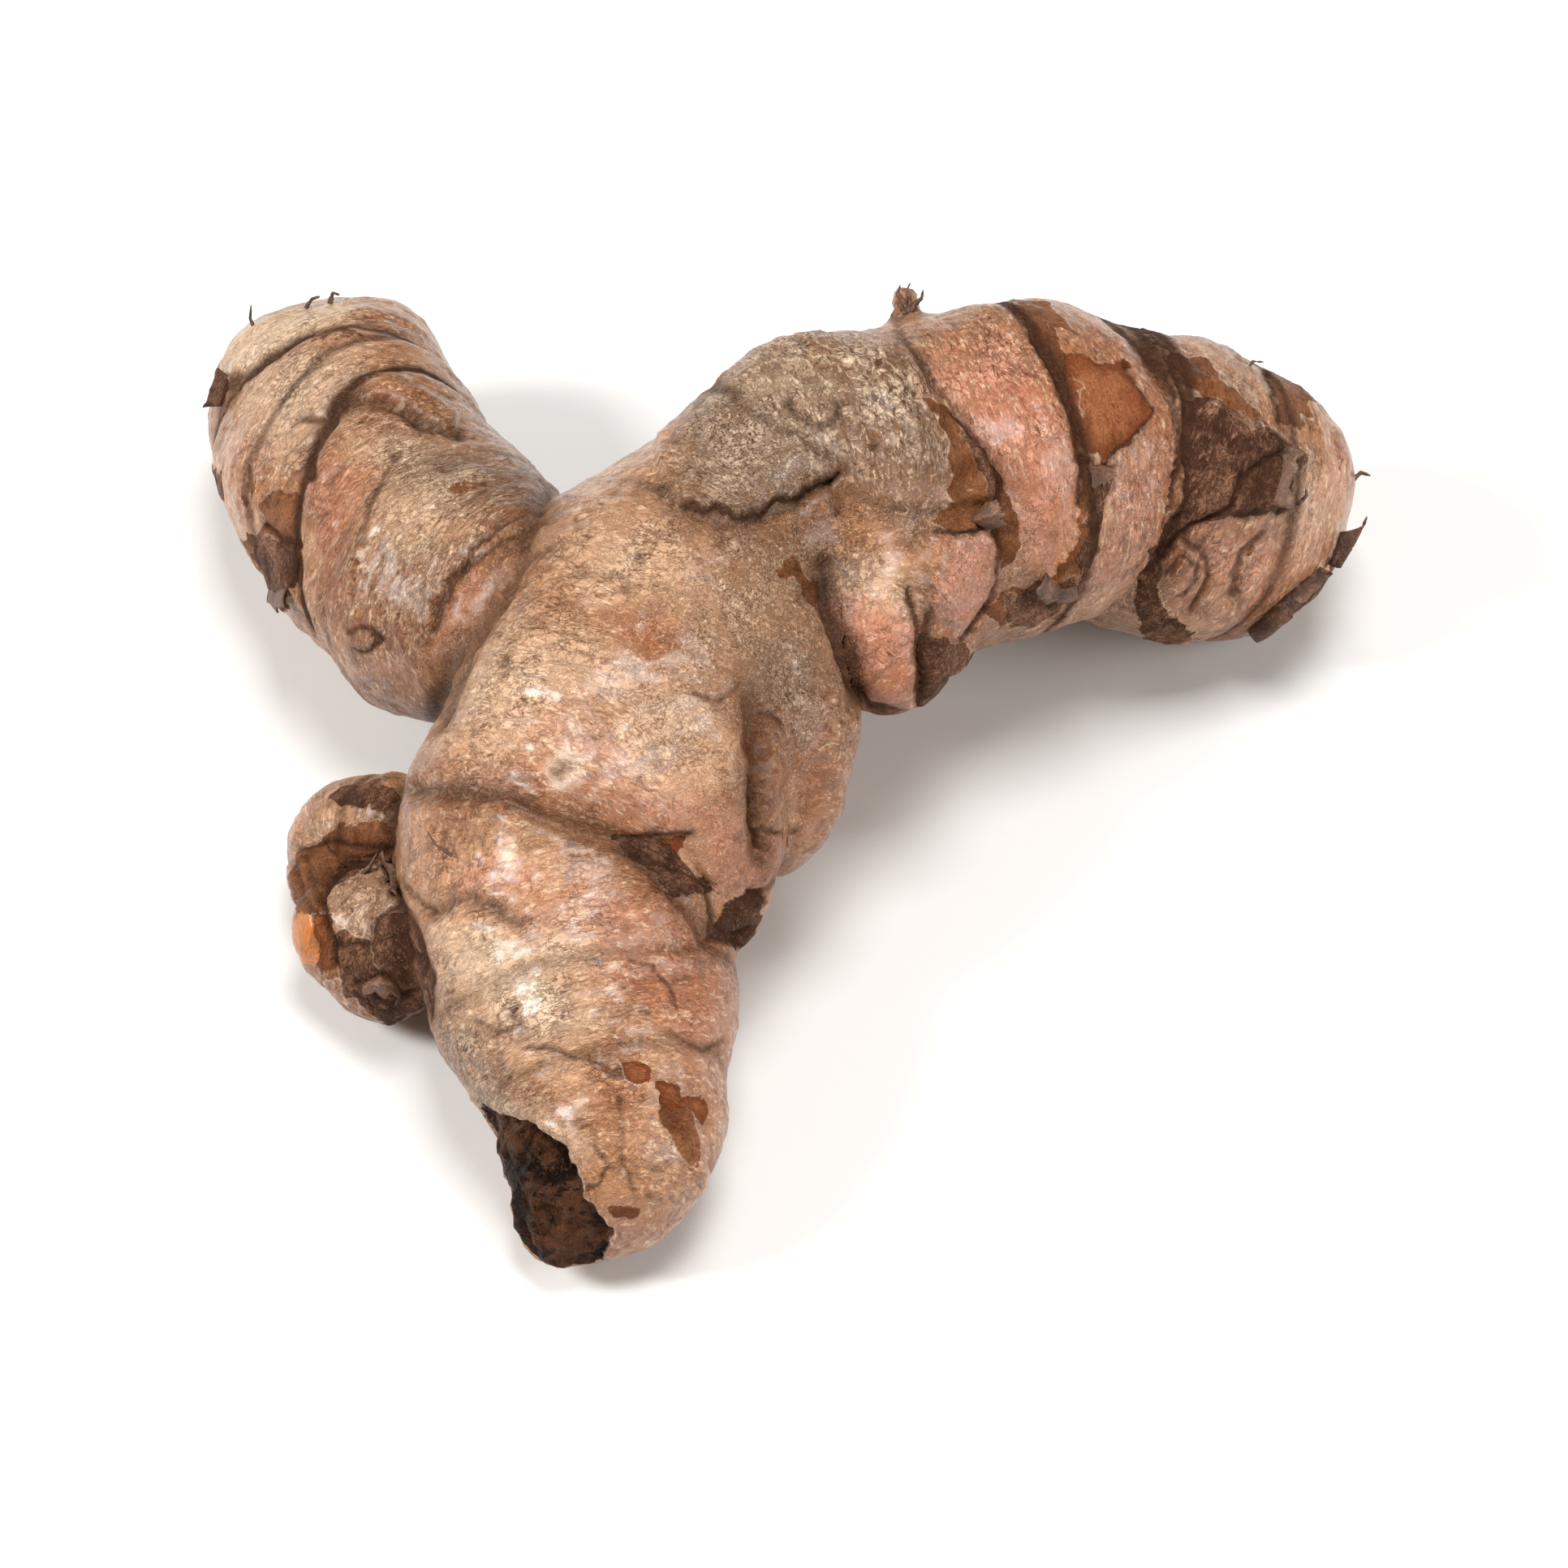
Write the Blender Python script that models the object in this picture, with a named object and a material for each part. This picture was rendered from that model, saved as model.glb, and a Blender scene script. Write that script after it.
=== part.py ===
"""Fresh turmeric rhizome: one branched piece, resting on its three finger tips.

The limbs are laid out in millimetres on the face the picture shows: across it, up it and away
from the viewer. The layout is then tipped back by the viewing angle, so the finished solid
stands on z = 0 with its bounding box centred on the origin, in metres.
"""

import math

import bmesh
import bpy
import numpy as np

# Viewing angle and distance the limbs are laid out for
LOOK_DOWN = math.radians(50.0)
VIEW_DISTANCE = 600.0

# Solid, in millimetres
REMESH_VOXEL = 0.5
UNION_SOFTNESS = 0.65
FLAT_DEPTH = 0.45
TRIANGLE_BUDGET = 10200
LUMP_HEIGHT = 0.2
LUMP_WAVELENGTH = 11.0

# Finger rings, in millimetres
RING_GROOVE_DEPTH = 0.42
RING_GROOVE_WIDTH = 0.75
RING_COLLAR_HEIGHT = 0.3
RING_COLLAR_FADE = 2.6

# Centre lines: across, up, away, radius
LIMBS = {
    "front": (
        (3.9, 8.6, 0.0, 8.2), (-2.6, 2.1, -4.0, 10.4), (-7.0, -6.4, -8.5, 11.2),
        (-9.7, -13.2, -11.2, 9.9), (-8.7, -19.4, -13.8, 9.3), (-7.5, -24.9, -16.1, 7.9),
        (-6.7, -29.5, -18.3, 6.3), (-6.2, -31.7, -19.2, 4.6)),
    "right": (
        (-0.6, 6.8, -1.0, 5.6), (5.4, 10.2, 0.0, 9.1), (11.4, 10.8, 2.5, 10.0),
        (17.9, 12.1, 5.0, 10.0), (22.7, 12.6, 7.4, 8.8), (26.9, 11.0, 9.5, 9.2),
        (29.9, 10.3, 11.6, 8.6)),
    "left": (
        (-8.1, 2.1, -4.0, 6.6), (-13.1, 3.1, 0.0, 7.1), (-17.4, 5.7, 5.0, 8.6),
        (-21.6, 10.6, 10.5, 8.2), (-23.6, 14.9, 16.6, 7.9)),
    "bud lobe": (
        (-2.1, -1.9, -12.0, 6.0), (-0.4, -8.4, -14.0, 4.2), (0.7, -13.2, -12.5, 2.8),
        (0.9, -15.2, -12.0, 1.8)),
    "side lobe": (
        (0.4, 3.4, -7.6, 5.6), (3.3, -3.4, -9.0, 4.7), (3.8, -7.6, -9.0, 4.0),
        (3.6, -10.5, -8.5, 2.4)),
    "base lobe": ((10.4, 6.1, -3.6, 5.0), (9.8, 2.5, -5.6, 4.3), (10.5, 1.1, -5.8, 3.9)),
    "base pad": ((14.6, 8.6, -1.0, 5.0), (15.0, 5.3, -1.0, 3.4), (13.2, 1.6, -2.0, 2.0)),
    "broken stub": ((-8.1, -30.4, -19.0, 4.0), (-9.7, -33.0, -19.3, 2.9), (-9.9, -34.2, -19.3, 2.6)),
    "upper nub": ((-17.0, -11.4, -6.0, 3.3), (-22.0, -10.7, -1.7, 4.1), (-23.2, -12.8, -1.9, 3.6)),
    "lower nub": ((-16.6, -15.6, -8.5, 3.6), (-20.1, -17.7, -7.2, 4.0), (-22.4, -16.6, -6.4, 3.8)),
    "root end": ((11.2, 20.4, 4.2, 0.6), (11.1, 22.4, 4.8, 0.5)),
}

# Rings on a limb: distance along it, lean toward the viewer, slant round the side, share
RINGS = {
    "front": ((36.4, 0.6, 0.0, 0.3), (42.6, 0.0, 0.0, 0.35)),
    "right": ((20.6, 0.3, 0.0, 0.9), (27.5, 0.0, -0.6, 1.0), (34.6, 0.6, -0.8, 0.7)),
    "left": ((13.0, 1.0, -1.0, 0.35), (18.0, 3.0, -4.5, 1.2), (24.4, 1.0, -3.0, 0.6),
             (28.9, 0.0, 1.5, 0.8)),
    "bud lobe": ((12.6, 0.0, 0.0, 0.7),),
    "upper nub": ((5.4, 0.0, 0.0, 0.6),),
}

# Creases in the skin, as lines across and up the picture, with depth and half width
CREASES = (
    (((-19.3, -7.8), (-15.7, -8.3), (-13.7, -8.3), (-11.4, -9.4), (-7.3, -10.6), (-6.3, -10.9),
      (-2.7, -14.2), (-0.7, -17.0)), 0.8, 0.6),
    (((-18.0, -15.5), (-16.7, -14.7), (-15.7, -14.4), (-14.7, -15.0), (-12.4, -16.0)), 0.5, 0.5),
    (((-3.9, 11.2), (-3.1, 9.9), (-1.5, 9.1), (1.3, 8.6), (4.2, 9.6), (6.5, 11.4)), 0.5, 0.45),
    (((2.0, -2.4), (2.2, -6.0), (2.4, -8.8), (2.6, -12.4)), 0.9, 0.8),
    (((-10.4, 10.8), (-12.1, 7.3), (-14.6, 3.1), (-16.9, -0.9), (-17.6, -3.4)), 0.5, 0.7),
    (((6.4, 6.2), (6.7, 3.2), (7.6, 0.0), (8.2, -2.4)), 0.5, 0.6),
    (((12.9, 3.0), (12.4, 0.6), (12.2, -2.4)), 0.4, 0.5),
)

# Raised scales, as outlines across and up the picture, with height
SCALES = (
    (((25.9, 20.2), (28.0, 19.2), (31.7, 15.7), (35.5, 12.8), (34.6, 11.6), (34.5, 9.4),
      (30.8, 9.4), (27.4, 9.3), (27.7, 14.9)), 0.45),
    (((22.0, 18.2), (24.3, 18.4), (26.2, 15.2), (23.3, 12.4), (22.0, 12.5)), 0.3),
    (((22.2, 11.8), (23.6, 12.0), (22.5, 6.5), (20.0, 3.1), (19.3, 5.2), (21.5, 7.5)), 0.35),
    (((-5.7, -10.7), (-2.0, -10.6), (-1.6, -12.0), (-0.6, -13.7), (-2.7, -13.2)), -0.4),
    (((-3.9, 11.2), (-3.1, 9.9), (-1.5, 9.1), (1.3, 8.6), (4.2, 9.6), (6.5, 11.4), (9.4, 9.6),
      (13.2, 9.4), (16.6, 10.2), (16.4, 11.8), (13.6, 15.6), (11.6, 18.6), (4.0, 20.6),
      (-4.0, 17.6)), 0.5),
    (((12.9, 8.1), (15.4, 8.6), (16.9, 7.6), (17.2, 6.1), (16.4, 4.1), (15.2, 2.6), (14.6, 1.6),
      (13.9, 3.1), (12.9, 4.1), (13.0, 6.1)), 0.4),
    (((-14.6, -27.2), (-13.4, -29.9), (-13.1, -32.3), (-12.3, -35.3), (-9.8, -37.6), (-6.9, -37.0),
      (-6.7, -35.3), (-8.4, -32.8), (-8.9, -31.2), (-9.7, -29.9), (-12.3, -28.2)), -0.4),
)

# Small buds: across, up, radius and height
BUDS = ((28.0, 5.8, 1.8, 0.6), (5.3, 15.1, 1.8, 0.45), (0.9, -15.4, 1.2, 0.3))


def to_space(layout):
    """Turn rows of across, up and away into x, y and z, keeping what the viewer sees."""
    layout = np.asarray(layout, dtype=float)
    away = layout[:, 2]
    spread = (VIEW_DISTANCE + away) / VIEW_DISTANCE
    across = layout[:, 0] * spread
    up = layout[:, 1] * spread
    sine = math.sin(LOOK_DOWN)
    cosine = math.cos(LOOK_DOWN)
    return np.stack([across, up * sine + away * cosine, up * cosine - away * sine], axis=1)


def to_picture(points):
    """Turn x, y and z back into across and up as the viewer sees them."""
    sine = math.sin(LOOK_DOWN)
    cosine = math.cos(LOOK_DOWN)
    up = points[:, 1] * sine + points[:, 2] * cosine
    away = points[:, 1] * cosine - points[:, 2] * sine
    spread = VIEW_DISTANCE / (VIEW_DISTANCE + away)
    return np.stack([points[:, 0] * spread, up * spread], axis=1)


def smooth_path(controls, steps=14):
    """Pass a smooth curve through the control rows."""
    rows = np.asarray(controls, dtype=float)
    rows = np.vstack([2.0 * rows[0] - rows[1], rows, 2.0 * rows[-1] - rows[-2]])
    t = np.linspace(0.0, 1.0, steps, endpoint=False)[:, None]
    pieces = []
    for i in range(1, len(rows) - 2):
        a, b, c, d = rows[i - 1:i + 3]
        pieces.append(0.5 * (2.0 * b + (c - a) * t + (2.0 * a - 5.0 * b + 4.0 * c - d) * t ** 2
                             + (3.0 * b - a - 3.0 * c + d) * t ** 3))
    pieces.append(rows[-2:-1])
    return np.vstack(pieces)


def unit(vectors):
    """Scale each row to length one."""
    return vectors / np.maximum(np.linalg.norm(vectors, axis=-1, keepdims=True), 1e-9)


def limb_line(controls):
    """Give centres, radii, directions and distances along one limb."""
    rows = smooth_path(controls)
    centres = to_space(rows[:, :3])
    radii = rows[:, 3] * (VIEW_DISTANCE + rows[:, 2]) / VIEW_DISTANCE
    directions = unit(np.gradient(centres, axis=0))
    steps = np.linalg.norm(np.diff(centres, axis=0), axis=1)
    return centres, radii, directions, np.concatenate([[0.0], np.cumsum(steps)])


LINES = {name: limb_line(controls) for name, controls in LIMBS.items()}
TOWARD_VIEWER = np.array([0.0, -math.cos(LOOK_DOWN), math.sin(LOOK_DOWN)])


def field(points):
    """Give the smooth union's distance and slope at each point, and each limb's share there."""
    distances = []
    slopes = []
    for centres, radii, _, _ in LINES.values():
        offsets = points[:, None, :] - centres[None, :, :]
        lengths = np.linalg.norm(offsets, axis=2)
        nearest = np.argmin(lengths - radii[None, :], axis=1)
        rows = np.arange(len(points))
        distances.append(lengths[rows, nearest] - radii[nearest])
        slopes.append(offsets[rows, nearest] / np.maximum(lengths[rows, nearest], 1e-9)[:, None])
    distances = np.stack(distances, axis=1)
    lowest = distances.min(axis=1, keepdims=True)
    shares = np.exp(-(distances - lowest) / UNION_SOFTNESS)
    total = shares.sum(axis=1, keepdims=True)
    value = lowest[:, 0] - UNION_SOFTNESS * np.log(total[:, 0])
    shares = shares / total
    slope = np.einsum("nk,nkd->nd", shares, np.stack(slopes, axis=1))
    return value, slope, shares


def along_limb(points, name):
    """Give each point's distance along a limb, its turn toward the viewer and toward the side."""
    centres, radii, directions, distances = LINES[name]
    lengths = np.linalg.norm(points[:, None, :] - centres[None, :, :], axis=2)
    nearest = np.argmin(lengths - radii[None, :], axis=1)
    offset = points - centres[nearest]
    forward = directions[nearest]
    step = np.sum(offset * forward, axis=1)
    outward = unit(offset - step[:, None] * forward)
    toward = unit(TOWARD_VIEWER - (forward @ TOWARD_VIEWER)[:, None] * forward)
    side = np.cross(toward, forward)
    return distances[nearest] + step, np.sum(outward * toward, axis=1), np.sum(outward * side, axis=1)


def ring_relief(points, name):
    """Groove each ring and raise a collar that fades toward the limb's root."""
    if name not in RINGS:
        return np.zeros(len(points))
    along, facing, siding = along_limb(points, name)
    relief = np.zeros(len(points))
    for station, lean, slant, share in RINGS[name]:
        past = along - station - lean * facing - slant * siding
        groove = RING_GROOVE_DEPTH * np.exp(-(past / RING_GROOVE_WIDTH) ** 2)
        collar = np.where(past < 0.0, np.exp(past / RING_COLLAR_FADE), np.exp(-(past / 0.6) ** 2))
        relief += share * (RING_COLLAR_HEIGHT * collar - groove)
    return relief


def line_distance(points, line):
    """Give the distance in the picture from each point to a line of joined corners."""
    line = np.asarray(line, dtype=float)
    starts = line[:-1]
    spans = line[1:] - starts
    offsets = points[:, None, :] - starts[None, :, :]
    share = np.sum(offsets * spans, axis=2) / np.sum(spans * spans, axis=1)
    gaps = offsets - np.clip(share, 0.0, 1.0)[:, :, None] * spans
    return np.linalg.norm(gaps, axis=2).min(axis=1)


def inside_outline(points, outline):
    """Say which points lie inside a closed outline in the picture."""
    corners = np.asarray(outline, dtype=float)
    inside = np.zeros(len(points), dtype=bool)
    for (x0, y0), (x1, y1) in zip(corners, np.roll(corners, -1, axis=0)):
        crosses = (y0 > points[:, 1]) != (y1 > points[:, 1])
        rise = y1 - y0 if y1 != y0 else 1e-9
        inside ^= crosses & (points[:, 0] < x0 + (x1 - x0) * (points[:, 1] - y0) / rise)
    return inside


def picture_relief(points, normals):
    """Cut the creases and raise the scales and buds on the side that faces the viewer."""
    seen = to_picture(points)
    facing = np.clip(4.0 * (normals @ TOWARD_VIEWER), 0.0, 1.0)
    relief = np.zeros(len(points))
    for line, depth, half_width in CREASES:
        relief -= depth * np.exp(-(line_distance(seen, line) / half_width) ** 2)
    for outline, height in SCALES:
        edge = line_distance(seen, outline + outline[:1])
        signed = np.where(inside_outline(seen, outline), edge, -edge)
        relief += height * np.clip(0.5 + signed / 0.6, 0.0, 1.0)
    for across, up, radius, height in BUDS:
        gap = np.hypot(seen[:, 0] - across, seen[:, 1] - up) / radius
        relief += height * np.clip(1.0 - gap ** 2, 0.0, 1.0)
    return relief * facing


def lump_relief(points):
    """Add soft uneven swellings from a few crossing waves."""
    chooser = np.random.default_rng(5)
    relief = np.zeros(len(points))
    for _ in range(7):
        heading = unit(chooser.normal(size=3))
        pace = 2.0 * math.pi / (LUMP_WAVELENGTH * chooser.uniform(0.6, 1.4))
        relief += np.sin(points @ heading * pace + chooser.uniform(0.0, 2.0 * math.pi))
    return LUMP_HEIGHT * relief / math.sqrt(7.0 / 2.0)


def tube_mesh(centres, radii, directions, sides=24, cap_rings=5):
    """Sweep a circle along a limb, with a round cap at each end."""
    stations = []
    for k in range(cap_rings):
        angle = 0.5 * math.pi * (k + 0.5) / cap_rings
        stations.append((centres[0] - directions[0] * radii[0] * math.cos(angle),
                         radii[0] * math.sin(angle), directions[0]))
    stations += list(zip(centres, radii, directions))
    for k in reversed(range(cap_rings)):
        angle = 0.5 * math.pi * (k + 0.5) / cap_rings
        stations.append((centres[-1] + directions[-1] * radii[-1] * math.cos(angle),
                         radii[-1] * math.sin(angle), directions[-1]))
    turns = np.linspace(0.0, 2.0 * math.pi, sides, endpoint=False)
    side = unit(np.cross(directions[0], TOWARD_VIEWER))
    corners = []
    for centre, radius, forward in stations:
        side = unit(side - np.dot(side, forward) * forward)
        other = np.cross(forward, side)
        corners.append(centre + radius * (np.cos(turns)[:, None] * side + np.sin(turns)[:, None] * other))
    faces = []
    for ring in range(len(stations) - 1):
        for turn in range(sides):
            following = (turn + 1) % sides
            faces.append((ring * sides + turn, ring * sides + following,
                          (ring + 1) * sides + following, (ring + 1) * sides + turn))
    faces.append(tuple(reversed(range(sides))))
    faces.append(tuple((len(stations) - 1) * sides + turn for turn in range(sides)))
    return np.vstack(corners), faces


def joined_tubes():
    """Put every limb's tube into one mesh."""
    corners = []
    faces = []
    start = 0
    for centres, radii, directions, _ in LINES.values():
        tube_corners, tube_faces = tube_mesh(centres, radii, directions)
        corners.append(tube_corners)
        faces += [tuple(start + index for index in face) for face in tube_faces]
        start += len(tube_corners)
    mesh = bpy.data.meshes.new("limb_tubes")
    mesh.from_pydata(np.vstack(corners).tolist(), [], faces)
    mesh.update()
    return mesh


def applied(mesh, kind, **settings):
    """Give the mesh that one modifier makes of another mesh."""
    holder = bpy.data.objects.new("holder", mesh)
    bpy.context.collection.objects.link(holder)
    modifier = holder.modifiers.new(kind.title(), kind)
    for name, value in settings.items():
        setattr(modifier, name, value)
    ready = holder.evaluated_get(bpy.context.evaluated_depsgraph_get())
    result = bpy.data.meshes.new_from_object(ready)
    bpy.data.objects.remove(holder)
    return result


def mesh_points(mesh):
    """Give a mesh's corners as rows of x, y and z."""
    points = np.empty(len(mesh.vertices) * 3)
    mesh.vertices.foreach_get("co", points)
    return points.reshape(-1, 3)


def sculpted(points):
    """Move the corners onto the smooth union, then along its slope by the relief."""
    for _ in range(4):
        value, slope, _ = field(points)
        points = points - value[:, None] * slope / np.maximum(np.sum(slope ** 2, axis=1), 0.05)[:, None]
    _, slope, shares = field(points)
    normals = unit(slope)
    relief = picture_relief(points, normals) + lump_relief(points)
    for index, name in enumerate(LIMBS):
        relief += shares[:, index] * ring_relief(points, name)
    return points + relief[:, None] * normals


def cut_flat(mesh, height):
    """Cut everything below a height away and close the openings with flat faces."""
    work = bmesh.new()
    work.from_mesh(mesh)
    everything = work.verts[:] + work.edges[:] + work.faces[:]
    bmesh.ops.bisect_plane(work, geom=everything, dist=0.01, plane_co=(0.0, 0.0, height),
                           plane_no=(0.0, 0.0, 1.0), clear_inner=True)
    rims = [edge for edge in work.edges if edge.is_boundary]
    bmesh.ops.holes_fill(work, edges=rims, sides=0)
    bmesh.ops.dissolve_degenerate(work, dist=0.01, edges=work.edges[:])
    for corner in work.verts:
        corner.co.z = height if corner.co.z < height + 0.02 else corner.co.z
    bmesh.ops.triangulate(work, faces=work.faces[:])
    bmesh.ops.recalc_face_normals(work, faces=work.faces[:])
    work.to_mesh(mesh)
    work.free()


def skin_material():
    """Make the tan skin finish."""
    material = bpy.data.materials.new("turmeric_skin")
    material.use_nodes = True
    shader = material.node_tree.nodes["Principled BSDF"]
    shader.inputs["Base Color"].default_value = (0.52, 0.31, 0.19, 1.0)
    shader.inputs["Roughness"].default_value = 0.5
    return material


def build_rhizome():
    """Build the rhizome, centre it over the origin and stand it on z = 0."""
    shape = applied(joined_tubes(), "REMESH", mode="VOXEL", voxel_size=REMESH_VOXEL)
    points = sculpted(mesh_points(shape))
    shape.vertices.foreach_set("co", points.ravel())
    shape.update()
    triangles = sum(len(face.vertices) - 2 for face in shape.polygons)
    shape = applied(shape, "DECIMATE", ratio=TRIANGLE_BUDGET / triangles, use_collapse_triangulate=True)
    floor = mesh_points(shape)[:, 2].min() + FLAT_DEPTH
    cut_flat(shape, floor)
    points = mesh_points(shape)
    middle = 0.5 * (points.min(axis=0) + points.max(axis=0))
    points = (points - np.array([middle[0], middle[1], floor])) / 1000.0
    shape.vertices.foreach_set("co", points.ravel())
    shape.update()
    shape.name = "rhizome"
    rhizome = bpy.data.objects.new("rhizome", shape)
    rhizome.data.materials.append(skin_material())
    bpy.context.collection.objects.link(rhizome)
    return rhizome


for leftover in list(bpy.data.objects):
    bpy.data.objects.remove(leftover)
build_rhizome()
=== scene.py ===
"""Looks of the fresh turmeric rhizome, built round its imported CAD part.

One fine skin stands for the CAD solid. It is laid out as the CAD is: limbs swept along centre
lines, joined by a smooth union and carved by rings, creases and scales. Tints are stored at its
corners, and the skin's material breaks their edges up with noise. Papery flaps and root ends are
pieces of their own. Lengths in the data are millimetres; meshes are in metres.
"""

import logging
import math
from dataclasses import dataclass, field
from enum import Enum

import bmesh
import bpy
import numpy as np
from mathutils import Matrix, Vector


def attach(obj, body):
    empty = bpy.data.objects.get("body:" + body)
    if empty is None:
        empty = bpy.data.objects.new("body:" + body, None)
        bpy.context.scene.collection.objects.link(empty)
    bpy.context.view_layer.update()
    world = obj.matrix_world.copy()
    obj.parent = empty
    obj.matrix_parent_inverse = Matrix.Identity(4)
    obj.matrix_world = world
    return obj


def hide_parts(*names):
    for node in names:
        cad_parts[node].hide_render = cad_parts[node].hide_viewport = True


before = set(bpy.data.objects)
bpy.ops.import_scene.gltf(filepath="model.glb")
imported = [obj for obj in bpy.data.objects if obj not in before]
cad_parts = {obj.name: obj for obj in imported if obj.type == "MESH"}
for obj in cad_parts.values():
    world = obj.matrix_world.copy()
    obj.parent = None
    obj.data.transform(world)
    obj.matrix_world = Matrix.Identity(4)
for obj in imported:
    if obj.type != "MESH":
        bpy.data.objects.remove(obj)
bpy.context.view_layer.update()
LOG = logging.getLogger("turmeric")
BODY = "root"
CAD_NODE = "rhizome"

Corner = tuple[float, float]
Colour = tuple[float, float, float]
Row = tuple[float, float, float, float]
Grid = tuple[np.ndarray, np.ndarray]

# Added to the direction to the viewer, so that no limb's line runs along it.
OFF_AXIS = (0.013, 0.0, 0.007)


class Tint(Enum):
    """The tints that are stored at the skin's corners."""

    PINK = "pink"
    RUST = "rust"
    # Warm brown skin, and painted shade where broad soft patches darken shaded places.
    WARM_AND_SHADE = "warm_and_shade"
    SCALE = "scale"
    GREY = "grey"
    # Pale skin, and painted highlights where light falls.
    PALE_AND_HIGHLIGHT = "pale"
    # Dirt, and painted shade along folds, in pits and ring grooves and over shaded places.
    DIRT_AND_SHADE = "dirt_and_shade"
    FLESH = "flesh"
    STUB = "stub"
    BROWN = "brown"


TORN = (Tint.BROWN, Tint.RUST, Tint.SCALE, Tint.STUB)


@dataclass(frozen=True)
class Patch:
    """A tinted area, outlined in the picture's millimetres.

    Args:
        tint: which tint it adds.
        strength: how full the tint is inside it.
        softness: half the width over which its edge fades.
        outline: its corners, across and up.
    """

    tint: Tint
    strength: float
    softness: float
    outline: tuple[Corner, ...]


@dataclass(frozen=True)
class Ring:
    """A ring round a limb.

    Args:
        station: its distance along the limb.
        lean: how far it runs forward where it faces the viewer.
        slant: how far it runs forward on its side.
        share: its strength.
    """

    station: float
    lean: float
    slant: float
    share: float


@dataclass(frozen=True)
class Crease:
    """A fold in the skin along a line in the picture."""

    line: tuple[Corner, ...]
    depth: float
    half_width: float
    stain_and_shade: float


@dataclass(frozen=True)
class Scale:
    """A raised or sunken plate of skin, outlined in the picture."""

    outline: tuple[Corner, ...]
    height: float


@dataclass(frozen=True)
class Bud:
    """A small round bud on the side that faces the viewer."""

    across: float
    up: float
    radius: float
    height: float


@dataclass(frozen=True)
class Flap:
    """A curled bit of papery skin.

    Args:
        hinge: where it is fast to the skin, in the picture.
        edge: where its free edge lies in the picture.
        lift: how far its free edge stands off toward the viewer.
        curl: how far its middle bulges out.
    """

    hinge: tuple[Corner, ...]
    edge: tuple[Corner, ...]
    lift: float
    curl: float


@dataclass(frozen=True)
class Strand:
    """A dried root strand.

    Args:
        path: where it runs in the picture, from the skin outward.
        radius: its half width at the skin.
        lift: how far its end stands off toward the viewer.
    """

    path: tuple[Corner, ...]
    radius: float
    lift: float


LIMB_ROWS: dict[str, tuple[Row, ...]] = {
    "front": (
        (3.9, 8.6, 0.0, 8.2), (-2.6, 2.1, -4.0, 10.4), (-7.0, -6.4, -8.5, 11.2),
        (-9.7, -13.2, -11.2, 9.9), (-8.7, -19.4, -13.8, 9.3), (-7.5, -24.9, -16.1, 7.9),
        (-6.7, -29.5, -18.3, 6.3), (-6.2, -31.7, -19.2, 4.6)),
    "right": (
        (-0.6, 6.8, -1.0, 5.6), (5.4, 10.2, 0.0, 9.1), (11.4, 10.8, 2.5, 10.0),
        (17.9, 12.1, 5.0, 10.0), (22.7, 12.6, 7.4, 8.8), (26.9, 11.0, 9.5, 9.2),
        (29.9, 10.3, 11.6, 8.6)),
    "left": (
        (-8.1, 2.1, -4.0, 6.6), (-13.1, 3.1, 0.0, 7.1), (-17.4, 5.7, 5.0, 8.6),
        (-21.6, 10.6, 10.5, 8.2), (-23.6, 14.9, 16.6, 7.9)),
    "bud lobe": (
        (-2.1, -1.9, -12.0, 6.0), (-0.4, -8.4, -14.0, 4.2), (0.7, -13.2, -12.5, 2.8),
        (0.9, -15.2, -12.0, 1.8)),
    "side lobe": (
        (0.4, 3.4, -7.6, 5.6), (3.3, -3.4, -9.0, 4.7), (3.8, -7.6, -9.0, 4.0),
        (3.6, -10.5, -8.5, 2.4)),
    "base lobe": ((10.4, 6.1, -3.6, 5.0), (9.8, 2.5, -5.6, 4.3), (10.5, 1.1, -5.8, 3.9)),
    "base pad": ((14.6, 8.6, -1.0, 5.0), (15.0, 5.3, -1.0, 3.4), (13.2, 1.6, -2.0, 2.0)),
    "broken stub": ((-8.1, -30.4, -19.0, 4.0), (-9.7, -33.0, -19.3, 2.9), (-9.9, -34.2, -19.3, 2.6)),
    "upper nub": ((-17.0, -11.4, -6.0, 3.3), (-22.0, -10.7, -1.7, 4.1), (-23.2, -12.8, -1.9, 3.6)),
    "lower nub": ((-16.6, -15.6, -8.5, 3.6), (-20.1, -17.7, -7.2, 4.0), (-22.4, -16.6, -6.4, 3.8)),
    "root end": ((11.2, 20.4, 4.2, 0.6), (11.1, 22.4, 4.8, 0.5)),
}

RINGS: dict[str, tuple[Ring, ...]] = {
    "front": (Ring(36.4, 0.6, 0.0, 0.3), Ring(42.6, 0.0, 0.0, 0.35)),
    "right": (Ring(20.6, 0.3, 0.0, 0.9), Ring(27.5, 0.0, -0.6, 1.0), Ring(34.6, 0.6, -0.8, 0.7)),
    "left": (Ring(13.0, 1.0, -1.0, 0.35), Ring(18.0, 3.0, -4.5, 1.2), Ring(24.4, 1.0, -3.0, 0.6),
             Ring(28.9, 0.0, 1.5, 0.8)),
    "bud lobe": (Ring(12.6, 0.0, 0.0, 0.7),),
    "upper nub": (Ring(5.4, 0.0, 0.0, 0.6),),
}
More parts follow.
